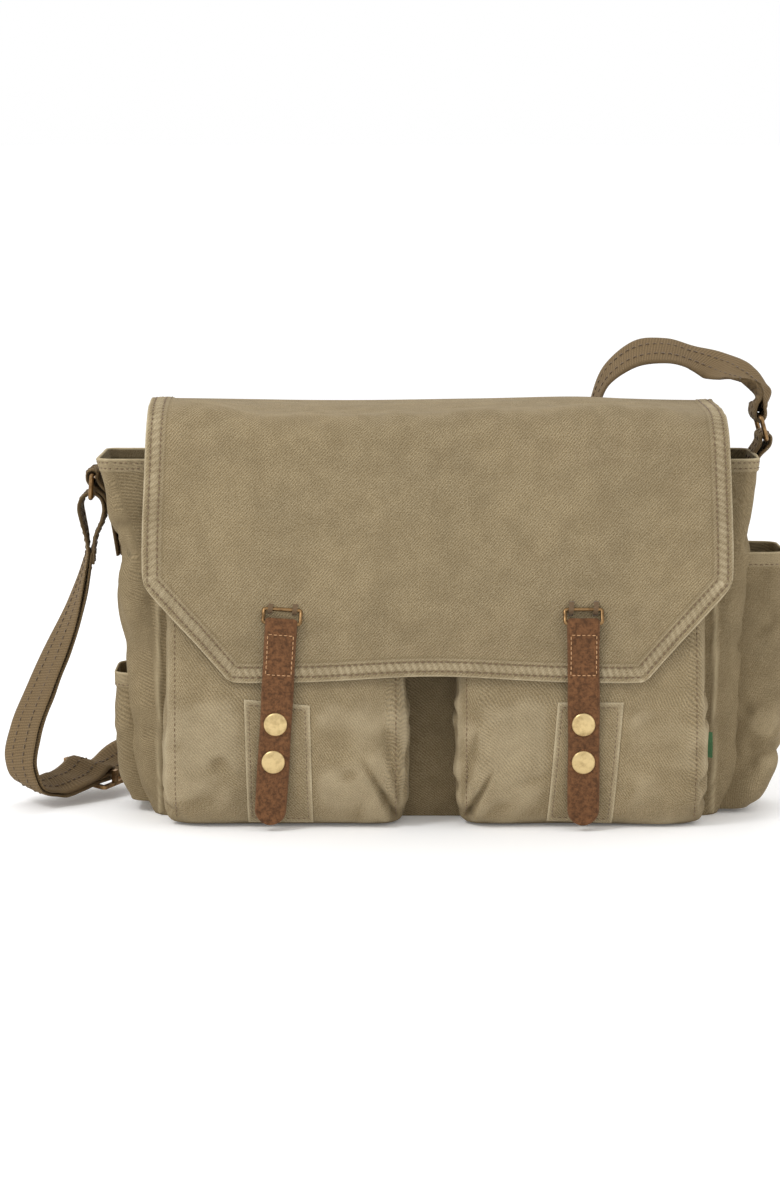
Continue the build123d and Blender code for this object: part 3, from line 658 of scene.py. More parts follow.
rows_up = np.concatenate([np.linspace(0, 16, 12), np.linspace(18, 236, 96), np.linspace(237, 266, 34)])
section = spline(rows_up, BODY[:, 0], BODY[:, 1:])
loops = rounded_rows(*section.T, 200, 46, 150, 12)
height = mouth_height(loops[..., 0], loops[..., 1])
outer = np.concatenate([loops, (rows_up[:, None] * height / BODY_TOP)[..., None]], axis=-1)
normal = grid_normals(outer, True)
relief, seam, hem = body_relief(outer)
outer = outer + normal * relief[..., None]
outer[..., 2] = np.maximum(outer[..., 2], 0.15)
inner = (outer - normal * (relief[..., None] * 0.6 + BODY_CLOTH))[::-1]
inner[..., 2] = np.maximum(inner[..., 2], BASE_CLOTH)
rim_row = (outer[-1:] + inner[:1]) / 2 + np.array([0, 0, 0.6])


def shrunk(row, z, steps):
    """Copies of a row at height z, drawn in towards the middle of the base."""
    centre = np.array([0.0, 15.0, z])
    flat = row.copy()
    flat[:, 2] = z
    return np.stack([centre + (flat - centre) * k for k in steps])


closing = (0.0, 0.3, 0.6, 0.85, 0.97)
base_out, base_in = shrunk(outer[0], 0.1, closing), shrunk(inner[-1], BASE_CLOTH, closing[::-1])
body_points = np.concatenate([base_out, outer, rim_row, inner, base_in])
n_out = len(closing) + len(outer)
wear_rows = np.zeros(body_points.shape[:2])
wear_rows[len(closing) : n_out] = seam * 0.75 + hem * 0.28
wear_rows[n_out - 1 : n_out + 2] = 0.85
inside_faces = np.zeros((len(body_points) - 1, body_points.shape[1]), int)
inside_faces[n_out + 8 :] = 1
# The compartment's outside wears the darker canvas copy: painted shade.
name, cloths = "compartment_cloth", (SHADED, LINING)
body = grid(name, body_points, True, wear_and_highlight=wear_rows, materials=cloths, face_material=inside_faces)
fitted(
    *(body, "bag", "canvas"),
    *("front_panel", "back_panel", "base_panel", "left_gusset", "right_gusset"),
    *("front_mouth_hem", "left_gusset_hem", "right_gusset_hem"),
    *("left_front_welt", "right_front_welt", "left_back_welt", "right_back_welt"),
)
hem_runs = []
cols = np.arange(outer.shape[1])
for drop in (2.1, 5.9):
    row = np.array([np.interp(height[-1, j] - drop, outer[:, j, 2], np.arange(len(outer))) for j in cols])
    low = np.clip(row.astype(int), 0, len(outer) - 2)
    f = (row - low)[:, None]
    points = outer[low, cols] * (1 - f) + outer[low + 1, cols] * f
    hem_runs.append((points, normal[low, cols]))
piece = stitches("mouth_stitches", hem_runs, TAN_THREAD)
fitted(piece, "bag", "thread")


# ---------------------------------------------------------------- pockets
POCKET_CORNER = 12.0


def pouch(z, low, high, reach, attach, counts, thick, relief, to_world):
    """A patch pocket's cloth from rows of heights and widths: closed below and folded over at its rim."""
    side_n, arc_n, front_n = counts
    attach = np.zeros_like(z) + attach

    def rows_of(z, low, high, reach, at):
        r = np.minimum(POCKET_CORNER, (reach - at) * 0.85)
        base = np.zeros_like(z) + at
        p = np.concatenate(
            [
                straight(low, base, low, reach - r, side_n),
                arc(low + r, reach - r, r, math.pi, math.pi / 2, arc_n),
                straight(low + r, reach, high - r, reach, front_n),
                arc(high - r, reach - r, r, math.pi / 2, 0.0, arc_n),
                straight(high, reach - r, high, base, side_n),
                np.stack([high, base], -1)[:, None],
            ],
            axis=1,
        )
        return np.concatenate([p, np.broadcast_to(z[:, None, None], (*p.shape[:2], 1))], axis=-1)

    k = np.linspace(0.12, 0.94, 8)
    spread = attach[0] + (reach[0] - attach[0]) * k
    under = rows_of(np.full(8, z[0]), np.full(8, low[0] + 2.0), np.full(8, high[0] - 2.0), spread, attach[0])
    shell = to_world(np.concatenate([under, rows_of(z, low, high, reach, attach)]))
    normals = grid_normals(shell)
    d, wear_and_highlight, dark = relief(shell)
    out = shell + normals * d[..., None]
    out[..., 2] = np.maximum(out[..., 2], 0.4)
    inner = (out - normals * thick)[::-1]
    inner[..., 2] = np.maximum(inner[..., 2], z[0] + thick)
    rim = (out[-1:] + inner[:1]) / 2 + np.array([0, 0, 0.6])
    points = np.concatenate([out, rim, inner])
    # The pale layer is wear on the rim and seams plus a painted highlight on fold crests, mirrored faintly
    # inside.
    pale_wear_and_highlight = np.concatenate([wear_and_highlight, np.full((1, wear_and_highlight.shape[1]), 0.9), wear_and_highlight[::-1] * 0.3])
    pale_wear_and_highlight[len(out) - 1 : len(out) + 2] = 0.8
    # shade is painted shade, mirrored onto the inside.
    shade = np.concatenate([dark, np.zeros_like(dark[-1:]), dark[::-1]])
    lining = np.zeros((len(points) - 1, points.shape[1] - 1), int)
    lining[len(out) + 9 :] = 1
    return points, pale_wear_and_highlight, shade, lining, out, normals


# height, how much narrower each side is, reach to the front
CARGO = np.array(
    [
        (1.0, 6.0, 52.0),
        (4.0, 2.8, 58.0),
        (9.0, 1.0, 62.5),
        (24.0, 0.0, 67.3),
        (55.0, 0.0, 69.3),
        (98.0, 0.0, 66.4),
        (135.0, 0.0, 60.0),
        (170.0, 0.0, 52.5),
        (200.0, 1.0, 44.0),
    ]
)
POCKETS = {"left": (-178.0, -21.0), "right": (13.0, 176.0)}
CLOSURE_X = {"left": -101.0, "right": 95.0}
TOE_X = {"left": -110.0, "right": 95.5}
PATCH_X = {"left": -104.0, "right": 97.0}
LOOP_TOP = (-68.9, 146.5)
SNAP_Z = (71.5, 46.5)
CARGO_HEM, CARGO_HEM_STITCH = 190, 192.4
PATCH_HALF, PATCH_LOW, PATCH_TOP, PATCH_INSET = 21.5, 3.6, 85.0, 3.2
BACK = (0, 1, 0)

for side, (x_low, x_high) in POCKETS.items():
    inner_edge = x_high if side == "left" else x_low
    toward = -1 if side == "left" else 1
    patch_x = PATCH_X[side]

    def cargo_relief(p):
        x, y, z = np.moveaxis(p, -1, 0)
        n = len(side)  # a seed of its own for each side
        face = smooth((-y - 50) / 12)
        across = (x - x_low) / (x_high - x_low)
        d = waves(p, 75, 31 + n) * 1.1 + waves(p, 30, 32 + n) * 0.4
        d += face * 2.6 * np.sin(np.clip(across, 0, 1) * math.pi) * np.sin(np.clip(z / 150, 0, 1) * math.pi)
        d += creases(p, 41 + n, 26, (x_low, -70, 5), (x_high, -60, 105), 3.6, 5.4, 70, (0.7, 0.0, 0.5))
        d += face * creases(p, 45 + n, 14, (x_low, -70, 70), (x_high, -60, 120), 3.0, 4.6, 80, (1.0, 0.0, 0.15))
        for seed, edge in ((51 + n, x_low), (61 + n, x_high)):
            d += creases(p, seed, 24, (edge - 2, -60, 5), (edge + 2, -30, 150), 4.2, 4.0, 46, (0.0, 0.8, 0.6))
        corner = np.hypot(np.minimum(np.abs(x - x_low), np.abs(x - x_high)), z) / 26
        d -= face * 4.4 * smooth(1 - corner)
        d += face * 1.6 * bell(z - 30, 12) * np.sin(across * 9 + 1.2)
        d += face * 1.2 * bell(z - 62, 14) * np.sin(across * 7)
        ear = np.abs((x - inner_edge) - toward * (4 + 0.55 * (z - 4)))
        tuck = -5.4 * bell(ear, 2.8) + 2.6 * bell(ear - 7, 4.5)
        d += face * tuck * smooth((52 - z) / 30) * smooth((z + 2) / 6)
        ear = np.abs((x - inner_edge) - toward * (2 + 0.2 * (z - 10)))
        d += face * (-3.4 * bell(ear, 2.2)) * smooth((80 - z) / 40)
        calm = bell(np.maximum(np.abs(x - patch_x) - 20, 0), 8) * smooth((100 - z) / 15)
        d *= 1 - 0.65 * calm * face
        d = np.where(d > 0.2, 0.2 + (d - 0.2) * smooth((100 - z) / 34), d)
        d = np.clip(d, -8, 3.2 - 2.3 * calm)
        fold = d
        seam = face * (bell(x - x_low - 2.4, 1.0) + bell(x_high - x - 2.4, 1.0))
        hem = smooth(z - CARGO_HEM)
        d = d * smooth((z + 0.5) / 5) + seam * 0.7 + hem * 0.9 - bell(z - CARGO_HEM_STITCH, 0.6) * 0.4
        # Pale wear on the seams, hem and bottom edge, and a painted highlight on raised folds.
        wear_and_highlight = seam * 0.22 + hem * 0.25 + bell(z - 3, 3) * face * 0.3 + 0.2 * smooth((fold - 0.8) / 2)
        # Painted shade: darker on the pocket's sides, in fold valleys and towards the bottom.
        dark = (1 - face) * 0.3 + 0.4 * smooth(-fold / 4) + 0.5 * smooth((9 - z) / 9)
        return d, wear_and_highlight, dark

    z_rows = np.concatenate([np.linspace(1, 24, 20), np.linspace(25.5, 186, 100), np.linspace(187, 200, 14)])
    shape = spline(z_rows, CARGO[:, 0], CARGO[:, 1:])
    points, pale_wear_and_highlight, shade, lining, out, normals = pouch(
        z_rows,
        x_low + shape[:, 0],
        x_high - shape[:, 0],
        shape[:, 1],
        24.5,
        (26, 10, 100),
        1.5,
        cargo_relief,
        lambda p: np.stack([p[..., 0], -p[..., 1], p[..., 2]], -1),
    )
    cloths = (CANVAS, LINING)
    pocket = grid(f"{side}_cargo_pocket", points, wear_and_highlight=pale_wear_and_highlight, dark=shade, materials=cloths, face_material=lining)
    fitted(pocket, "bag", "canvas", f"{side}_pocket_front", f"{side}_pocket_gusset", f"{side}_pocket_hem")
    pocket_tree = tree_of(pocket)
    runs = []
    for edge, sign in ((x_low, 1), (x_high, -1)):
        z_line = np.linspace(6, 188, 90)
        line = np.stack([np.full(90, edge + sign * 6.2), np.full(90, -60.0), z_line], -1)
        runs.append(dropped(pocket_tree, line, BACK, 0.05))
    x_line = np.linspace(x_low + 6, x_high - 6, 80)
    line = np.stack([x_line, np.full(80, -50.0), np.full(80, CARGO_HEM_STITCH)], -1)
    runs.append(dropped(pocket_tree, line, BACK, 0.05))
    piece = stitches(f"{side}_pocket_stitches", runs, TAN_THREAD)
    fitted(piece, "bag", "thread")

    tall = PATCH_TOP - PATCH_LOW
    u, v = np.meshgrid(np.linspace(-1, 1, 56), np.linspace(0, 1, 96))
    slant, tilt = (-2.0, -2.0 * u * v) if side == "left" else (6.5, -1.0 * u * (1 - v))
    px = patch_x + u * PATCH_HALF + (v - 0.5) * slant
    pz = PATCH_LOW + v * tall + tilt
    rim_gap = np.minimum((1 - np.abs(u)) * PATCH_HALF, np.minimum(v, 1 - v) * tall)
    bumps = -0.35 * bell(rim_gap - PATCH_INSET, 0.7) + 0.25 * bell(rim_gap - 1.2, 1.0)
    bumps += 0.18 * np.sin((px + pz) * 1.5) * bell(rim_gap - 1.6, 1.2)
    rubbed = 0.6 * bell(rim_gap, 1.1) + 0.2 * bell(rim_gap - 2.2, 1.4)
    start = np.stack([px, np.full_like(px, -66.0), pz], axis=-1)
    name = f"{side}_snap_patch_cloth"
    patch, top, top_n = sheet_on(name, pocket_tree, start, BACK, 0.15, 0.9, CANVAS, rubbed, bumps)
    fitted(patch, "bag", "canvas", f"{side}_snap_patch")
    iu, iv = round(PATCH_INSET / (2 * PATCH_HALF) * 55), round(PATCH_INSET / tall * 95)
    ring = [(iv, slice(iu, -iu)), (slice(iv, -iv), -iu - 1), (-iv - 1, slice(iu, -iu)), (slice(iv, -iv), iu)]
    piece = stitches(f"{side}_patch_stitches", [(top[a], top_n[a]) for a in ring], TAN_THREAD, radius=0.3)
    fitted(piece, "bag", "thread")

# height, reach to the side, front y, back y
LEFT_SIDE = [(8, 206, -12, 42), (30, 212.5, -14, 44), (65, 215.5, -14, 44), (95, 216, -13, 43)]
RIGHT_SIDE = [(3, 211, -14, 44), (16, 222, -17, 47), (60, 230.5, -19, 49)]
RIGHT_SIDE += [(120, 234, -18, 48), (177, 233, -16, 46)]
SIDE_STITCH = 7.6
for side, sign, rows in (("left", -1, LEFT_SIDE), ("right", 1, RIGHT_SIDE)):
    table = np.array(rows, float)
    top = table[-1, 0]

    def side_relief(p):
        x, y, z = np.moveaxis(p, -1, 0)
        out = smooth((np.abs(x) - 204) / 8)
        size = 1.0 if sign > 0 else 0.35
        d = waves(p, 60, 71) * 1.8 * size + waves(p, 26, 72) * 0.7 * size
        low, high = sorted((sign * 205, sign * 234))
        d += size * creases(p, 73, 34, (low, -20, 5), (high, 48, top - 15), 4.6, 4.4, 60, (0.2, 0.9, 0.7))
        slanting = 3.2 * bell(z - 62 - 0.5 * (y - 15), 5) + 2.4 * bell(z - 30 + 0.6 * (y - 15), 5)
        d -= size * slanting * out
        hem = smooth(z - (top - 10))
        d = d * (1 - 0.6 * hem) * smooth((z - table[0, 0]) / 8)
        d += hem * 0.8 - bell(z - (top - SIDE_STITCH), 0.7) * 0.5
        # Returned: the relief; pale wear on the hem with a painted highlight on raised folds; painted shade
        # near the compartment and in recesses.
        return d, hem * 0.25 + 0.2 * smooth((d - 0.8) / 2), (1 - out) * 0.3 + 0.45 * smooth(-d / 4)

    def to_side(p):
        return np.stack([sign * p[..., 1], sign * p[..., 0], p[..., 2]], -1)

    middle_rows = np.linspace(26, top - 11, int(top / 2.2))
    z_rows = np.concatenate([np.linspace(table[0, 0], 24, 14), middle_rows, np.linspace(top - 10.5, top, 13)])
    shape = spline(z_rows, table[:, 0], table[:, 1:])
    low, high = (shape[:, 1], shape[:, 2]) if sign > 0 else (-shape[:, 2], -shape[:, 1])
    body_reach = BODY[:, 2] if sign > 0 else BODY[:, 1]
    attach = spline(z_rows, BODY[:, 0], body_reach[:, None])[:, 0] - 7.0
    points, pale_wear_and_highlight, shade, lining, out, normals = pouch(
        z_rows, low, high, shape[:, 0], attach, (12, 9, 40), 1.4, side_relief, to_side
    )
    # The side pockets wear the darker canvas copy: painted shade.
    name, cloths = f"{side}_side_pocket_cloth", (SHADED, LINING)
    pocket = grid(name, points, wear_and_highlight=pale_wear_and_highlight, dark=shade, materials=cloths, face_material=lining)
    fitted(pocket, "bag", "canvas", f"{side}_side_pocket", f"{side}_side_pocket_hem")
    row = int(np.argmin(np.abs(out[:, 30, 2] - (top - SIDE_STITCH))))
    piece = stitches(f"{side}_side_pocket_stitches", [(out[row], normals[row])], TAN_THREAD)
    fitted(piece, "bag", "thread")

# ---------------------------------------------------------------- flap
HALF, SIDE_Z, CORNER_X = 193.0, 161.0, 136.0
HINGE, TOP_Z, BEND, BEND_R, REAR_R = (54.5, 268.8), 274.2, (-36.0, 250.2), 24.0, 4.0
FLAP_FOOT, FRONT_FALL = 266.5, (-9.6, -152.2)
# lengths from the seam up to each change of the profile: rear edge, rear turn, top, bend, front
REAR, TURN_END, TOP_END, BEND_END, S_HEM = np.cumsum(
    [TOP_Z - REAR_R - FLAP_FOOT, REAR_R * math.pi / 2, 86.5, BEND_R * math.pi / 2, math.hypot(*FRONT_FALL)]
)
S_CORNER = BEND_END + (BEND[1] - SIDE_Z) * 1.002
CHAMFER = (HALF - CORNER_X, S_HEM - S_CORNER)
INNER_ROW, OUTER_ROW, BINDING = 10.3, 3.7, 12.2


def flap_profile(s):
    """The flap's y and z at a length from its seam."""
    y, z = np.zeros_like(s), np.zeros_like(s)
    rear_y, rear_z = HINGE[0] - REAR_R, TOP_Z - REAR_R
    turn, bend, fall = (s - REAR) / REAR_R, (s - TOP_END) / BEND_R, (s - BEND_END) / (S_HEM - BEND_END)
    parts = [
        (s <= REAR, HINGE[0], FLAP_FOOT + s),
        (s > REAR, rear_y + REAR_R * np.cos(turn), rear_z + REAR_R * np.sin(turn)),
        (s > TURN_END, rear_y - (s - TURN_END), TOP_Z),
        (s > TOP_END, BEND[0] - BEND_R * np.sin(bend), BEND[1] + BEND_R * np.cos(bend)),
        (s > BEND_END, BEND[0] - BEND_R + FRONT_FALL[0] * fall, BEND[1] + FRONT_FALL[1] * fall),
    ]
    for where, py, pz in parts:
        y, z = np.where(where, py, y), np.where(where, pz, z)
    return y, z


def edge_gap(x, s):
    """Distance from the flap's cut edge, and a length along that edge."""
    ax = np.abs(x)
    side = HALF - ax
    hem = S_HEM - s
    slant = (side * CHAMFER[1] - (s - S_CORNER) * CHAMFER[0]) / math.hypot(*CHAMFER)
    gap = np.minimum(np.minimum(side, hem), slant)
    along = np.where(gap == side, s, np.where(gap == hem, x, (s + HALF - ax) * 0.72))
    return gap, along


def flap_base(x, s):
    """The flap's surface without its folds: it arches at the hem, bows out in front and narrows behind."""
    y, z = flap_profile(s)
    front = smooth((s - BEND_END + 10) / 70)
    fall = np.clip((s - BEND_END) / (S_HEM - BEND_END), 0, 1)
    arch = 4.5 * np.exp(-(((x + 2) / 62) ** 2)) + 1.8 * smooth((np.abs(x) - 120) / 40)
    z = z + arch * fall**2
    top = smooth((BEND_END - s) / 30) * smooth(s / 20)
    z = z + top * (1.4 * np.sin(x / 41.0) + 1.5 * bell(x - 105, 40))
    bow = -2.6 * front * np.cos(np.clip(x / HALF, -1, 1) * math.pi / 2) * np.sin(fall * math.pi)
    y = y + bow - 1.2 * fall**3
    narrow = 1 - 0.021 * smooth((BEND_END + 75 - s) / 110)
    return np.stack([x * narrow + 0 * s, y, z], axis=-1)


def roped(gap, along):
    """The slanting puckers of a washed, twice-stitched edge."""
    return np.sin(along * 1.32 + gap * 0.55 + 1.2 * np.sin(along * 0.11))


def flap_relief(x, s):
    """Folds of the flap's cloth, and its turned and puckered edge."""
    p = np.stack([x, s, 0 * x], axis=-1)
    gap, along = edge_gap(x, s)
    fall = np.clip((s - BEND_END) / (S_HEM - BEND_END), 0, 1)
    d = waves(p, 120, 81) * 2.0 + waves(p, 48, 82) * 1.1 + waves(p, 21, 83) * 0.28
    d += creases(p, 84, 26, (-185, 110, 0), (185, 270, 0), 2.4, 5.6, 100, (0.9, 0.4, 0.0))
    d += creases(p, 85, 14, (-190, 215, 0), (-120, 285, 0), 1.5, 3.0, 34, (0.7, 0.7, 0.0))
    d += creases(p, 86, 14, (120, 215, 0), (190, 285, 0), 1.5, 3.0, 34, (0.7, -0.7, 0.0))
    d += creases(p, 87, 10, (-180, 95, 0), (180, 125, 0), 1.6, 4.5, 110, (1.0, 0.05, 0.0))
    d = d * smooth((s - 30) / 40) * (1 - 0.4 * fall)
    d = np.where(fall > 0.85, np.maximum(d, -0.2), d)
    band = smooth((BINDING - gap) / 0.9)
    ridge = smooth((gap - 3.6) / 1.2) * smooth((10.4 - gap) / 1.2)
    d += band * 0.6 + ridge * 0.34 * roped(gap, along) + bell(gap - 1.9, 1.3) * 0.2 * np.sin(along * 1.32 + 1.0)
    d -= 0.4 * (bell(gap - OUTER_ROW, 0.65) + bell(gap - INNER_ROW, 0.65))
    return d


def flap_at(x, s, lift=0.0):
    """Points on the flap, lifted off it, and its normals, at places across and along the cloth."""
    x, s = np.broadcast_arrays(np.asarray(x, float), np.asarray(s, float))
    e = 0.4
    base = flap_base(x, s)
    du = flap_base(x + e, s) - flap_base(x - e, s)
    ds = flap_base(x, s + e) - flap_base(x, s - e)
    n = unit(np.cross(ds, du))
    return base + n * (flap_relief(x, s) + lift)[..., None], n


def half_width(s):
    """Half the flap's width at a length from its seam, with softened corners."""
    soft = 3.0
    over = (s - S_CORNER) / CHAMFER[1]
    cut = CHAMFER[0] * np.where(over > 0, over, 0)
    blend = CHAMFER[0] / CHAMFER[1] * soft * np.log1p(np.exp(-np.abs(s - S_CORNER) / soft))
    w = HALF - cut - blend * 0.9
    tip = np.clip((s - (S_HEM - 3.5)) / 3.5, 0, 1)
    return w - 3.5 * (1 - np.sqrt(1 - tip**2 * 0.999))


front_rows, hem_rows = np.linspace(TOP_END + 1, S_HEM - 14, 150), np.linspace(S_HEM - 13.4, S_HEM, 30)
s_rows = np.concatenate([np.linspace(0, TOP_END, 60), front_rows, hem_rows])
q = np.linspace(-1, 1, 281)
q = np.sign(q) * (1 - (1 - np.abs(q)) ** 1.12)
X = half_width(s_rows)[:, None] * q[None]
S = np.broadcast_to(s_rows[:, None], X.shape)
top_points, flap_n = flap_at(X, S)
flap_gap, edge_along = edge_gap(X, S)
gap = np.minimum(half_width(s_rows)[:, None] - np.abs(X), S_HEM - S)
gap = np.minimum(gap, np.maximum(flap_gap, gap * 0.5))
taper = np.sqrt(np.clip(1 - np.clip(1 - gap / 1.2, 0, 1) ** 2, 0, 1))
taper[0] = 0
FLAP_CLOTH = 2.1
upper = top_points - flap_n * ((1 - taper) * FLAP_CLOTH / 2)[..., None]
under = top_points - flap_n * ((1 + taper) * FLAP_CLOTH / 2)[..., None]
flat = np.stack([X, S, 0 * X], -1)
spots = smooth((waves(flat, 13, 88) - 0.9) * 2) * bell(np.maximum(flap_gap - 3, 0), 6)
flap_wear_and_highlight = 0.8 * bell(flap_gap, 0.9) + 0.2 * bell(flap_gap - 7, 3.4) + 0.12 * spots
flap_wear_and_highlight += 0.14 * bell(flap_gap - BINDING, 0.8)
corner_rub = bell(np.hypot(np.abs(X) - HALF, S - S_CORNER), 12)
corner_rub += bell(np.hypot(np.abs(X) - CORNER_X, S - S_HEM), 10)
flap_wear_and_highlight += corner_rub * 0.35 * smooth(waves(flat, 7, 89))
# Roped puckers: a painted highlight on their crests and painted shade in their troughs.
ridge = smooth((flap_gap - 2.6) / 1.5) * smooth((11.4 - flap_gap) / 1.5)
rope = ridge * roped(flap_gap, edge_along)
flap_wear_and_highlight += 0.16 * np.clip(rope, 0, 1)
# Painted shade in the two stitch grooves and along the binding.
grooves = bell(flap_gap - OUTER_ROW, 0.8) + bell(flap_gap - INNER_ROW, 0.8) + bell(flap_gap - BINDING - 1, 0.9)
flap_painted_shade = 0.22 * np.clip(-rope, 0, 1) + 0.45 * grooves
both = np.concatenate([upper, under[:, ::-1]], axis=1)
uv = np.concatenate([np.stack([X, S], -1), np.stack([X[:, ::-1], S], -1)], axis=1)
side_material = np.zeros((both.shape[0] - 1, both.shape[1]), int)
side_material[:, X.shape[1] + 14 : -14] = 1
flap = grid(
    "flap_cloth",
    both,
    wrap=True,
    uv=uv,
    wear_and_highlight=np.concatenate([flap_wear_and_highlight, flap_wear_and_highlight[:, ::-1] * 0.5], axis=1),
    dark=np.concatenate([flap_painted_shade, np.zeros_like(flap_painted_shade)], axis=1),
    materials=(CANVAS, LINING),
    face_material=side_material,
)
welded(flap, 2e-6)
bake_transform(flap)
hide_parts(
    *("flap_outer_top", "flap_outer_front", "flap_lining_top", "flap_lining_front"),
    *("flap_facing_top", "flap_facing_front"),
)

runs = []
for inset in (OUTER_ROW, INNER_ROW):
    x_side, s_low = HALF - inset, S_HEM - inset
    s_turn = S_CORNER - inset * (math.hypot(*CHAMFER) - CHAMFER[1]) / CHAMFER[0]
    x_turn = CORNER_X - inset * 0.444
    for sign in (-1, 1):
        t = np.linspace(0, 1, 90)
        legs = [
            (x_side + 0 * t, 12 + (s_turn - 12) * t),
            (x_side + (x_turn - x_side) * t, s_turn + (s_low - s_turn) * t),
        ]
        for lx, ls in legs:
            runs.append(flap_at(sign * lx, ls, 0.12))
    runs.append(flap_at(np.linspace(-x_turn, x_turn, 160), np.full(160, s_low), 0.12))
piece = stitches("flap_stitches", runs, TAN_THREAD, length=2.8, gap=1.2, radius=0.42, twist=0.1)
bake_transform(piece)


# ---------------------------------------------------------------- seam that joins the flap to the back panel
SEAM_HALF = 176.0
sx, sr = np.meshgrid(np.linspace(-SEAM_HALF, SEAM_HALF, 200), np.linspace(0, 1, 40))
flat = np.stack([sx, sr, 0 * sr], -1)
seam_y = np.interp(sr, [0, 0.55, 0.8, 1.0], [58.6, 57.6, 56.3, 55.9])
seam_z = np.interp(sr, [0, 0.55, 0.8, 1.0], [253.5, 263.5, 267.6, 270.6]) + 0.4 * waves(flat, 60, 92)
ripple = 0.35 * np.sin(sx * 1.2 + waves(flat, 25, 93)) * bell(sr - 0.2, 0.2)
face = np.stack([sx, seam_y + ripple + 0.5, seam_z], axis=-1)
rear = face - np.array([0, 1.3, 0])
band = np.concatenate([face, rear[:, ::-1]], axis=1)
pale_wear_and_highlight = 0.5 * bell(np.concatenate([sr, sr[:, ::-1]], 1), 0.08)
seam_band = grid("flap_seam_band", band, wrap=True, wear_and_highlight=pale_wear_and_highlight, materials=[CANVAS])
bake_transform(seam_band)
outwards = np.broadcast_to([0.0, 1, 0], face[0].shape)
seam_rows = [(face[k] + 0.1 * outwards, outwards) for k in (5, 19)]
piece = stitches("flap_seam_stitches", seam_rows, TAN_THREAD)
fitted(piece, "bag", "thread")


# ---------------------------------------------------------------- closure straps, loops and snaps
TOE_DOWN = LOOP_TOP[1] - 4.0
# y, and height above the loop's top, from the toe up, over the loop and down to the sewn end
STRAP_PATH = [
    (-74.4, -TOE_DOWN + 0.4),
    (-74.5, -120),
    (-74.6, -100),
    (-74.5, -75),
    (-74.6, -45),
    (-74.8, -28),
    (-75.6, -18),
    (-76.1, -11),
    (-75.2, -6.9),
    (-73.4, -5.9),
    (-71.7, -7.2),
    (-71.0, -11),
    (-72.0, -18),
    (-72.4, -30),
    (-72.4, -44),
]
# radius and height of a snap's domed cap, then y and height of a bar tack's thread round the loop's foot
DOME = [(7.4, -0.9), (7.6, 0), (7.7, 0.5), (7.5, 0.95), (6.9, 1.35), (5.6, 1.8), (4, 2.1), (2, 2.25), (0, 2.3)]
TACK = [(-66.6, 5), (-68.6, 3.3), (-70, 2.2), (-70.9, 0.6), (-70.6, -1.2), (-69.6, -2.8), (-67.4, -4.2)]
for side in ("left", "right"):
    lean = (TOE_X[side] - CLOSURE_X[side]) / TOE_DOWN
    upright = math.sqrt(1 - lean**2)

    def placed(p):
        """Points on a strap that hangs plumb from its loop, moved to this side and leant over."""
        x, y, z = np.moveaxis(np.asarray(p, float), -1, 0)
        across, height = x * upright - z * lean, x * lean + z * upright
        return np.stack([CLOSURE_X[side] + across, y, LOOP_TOP[1] + height], axis=-1)

    path = through(STRAP_PATH, 240)
    length = path_lengths(path)
    near = np.concatenate([np.linspace(0, 1, 26) ** 2 * 9.5, np.linspace(9.9, length[-1], 200)])
    path = at_lengths(near, length, path)
    t = np.clip(near, 0, 10.0)
    width = 2 * (0.4 + np.sqrt(100.0 - (10.0 - t) ** 2 + 1e-6)) + 0.3 * np.sin(near / 9.0 + len(side))
    centre = placed(np.stack([0.25 * np.sin(near / 31.0), path[:, 0], path[:, 1]], axis=-1))
    across = np.broadcast_to(placed([1, 0, 0]) - placed([0, 0, 0]), centre.shape)
    strap, _, _ = ribbon(f"{side}_suede_strap", centre, across, width, 1.9, SUEDE, 0.1, 0.1, len(side))
    fitted(strap, f"{side}_closure", "suede", f"{side}_closure_strap")
    strap_tree = tree_of(strap)

    box = [(-8.3, -15.8), (8.3, -15.8), (8.3, -42.5), (-8.3, -42.5), (-8.3, -15.8)]
    runs = []
    for (ax, az), (bx, bz) in zip(box, box[1:]):
        f = np.linspace(0, 1, 24)
        line = placed(np.stack([ax + (bx - ax) * f, np.full(24, -80.0), az + (bz - az) * f], axis=-1))
        runs.append(dropped(strap_tree, line, BACK, 0.06))
    piece = stitches(f"{side}_box_stitches", runs, PALE_THREAD, length=2.3, gap=1.0, radius=0.33)
    fitted(piece, f"{side}_closure", "thread")

    domes = []
    for height in SNAP_Z:
        rings = through(DOME, 26)
        rings[-1, 0] = 0.0
        centre = placed([0, -75.45, height - LOOP_TOP[1]])
        domes.append(lathe(f"{side}_snap_{height:.0f}", rings, centre, (0, -1, 0), SNAP))
    caps = joined(f"{side}_snap_domes", domes)
    fitted(caps, f"{side}_closure", "snap_brass", f"{side}_snap_caps")

    turns = []
    for shift in (-8.0, 8.0):
        for k in np.linspace(-1.3, 1.3, 8):
            points = placed(through([(shift + k + 0.1 * z, y, z) for y, z in TACK], 14))
            across = np.broadcast_to([1.0, 0, 0], points.shape)
            turn, _, _ = ribbon(f"turn_{len(turns)}", points, across, 0.55, 0.6, TAN_THREAD, 0.6)
            turns.append(turn)
    tacks = joined(f"{side}_bar_tacks", turns)
    fitted(tacks, "flap_front", "thread", f"{side}_loop_tacks")

METALS = {name: WIRE for name in ("slider_frame", "slider_bar")}
for side in ("left", "right"):
    METALS.update({f"{side}_snap_studs": SNAP, f"{side}_snap_sockets": SNAP})
    METALS.update({f"{side}_strap_loop": WIRE, f"{side}_strap_ring": WIRE})
for name, material in METALS.items():
    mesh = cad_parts[name].data
    mesh.materials.clear()
    mesh.materials.append(material)

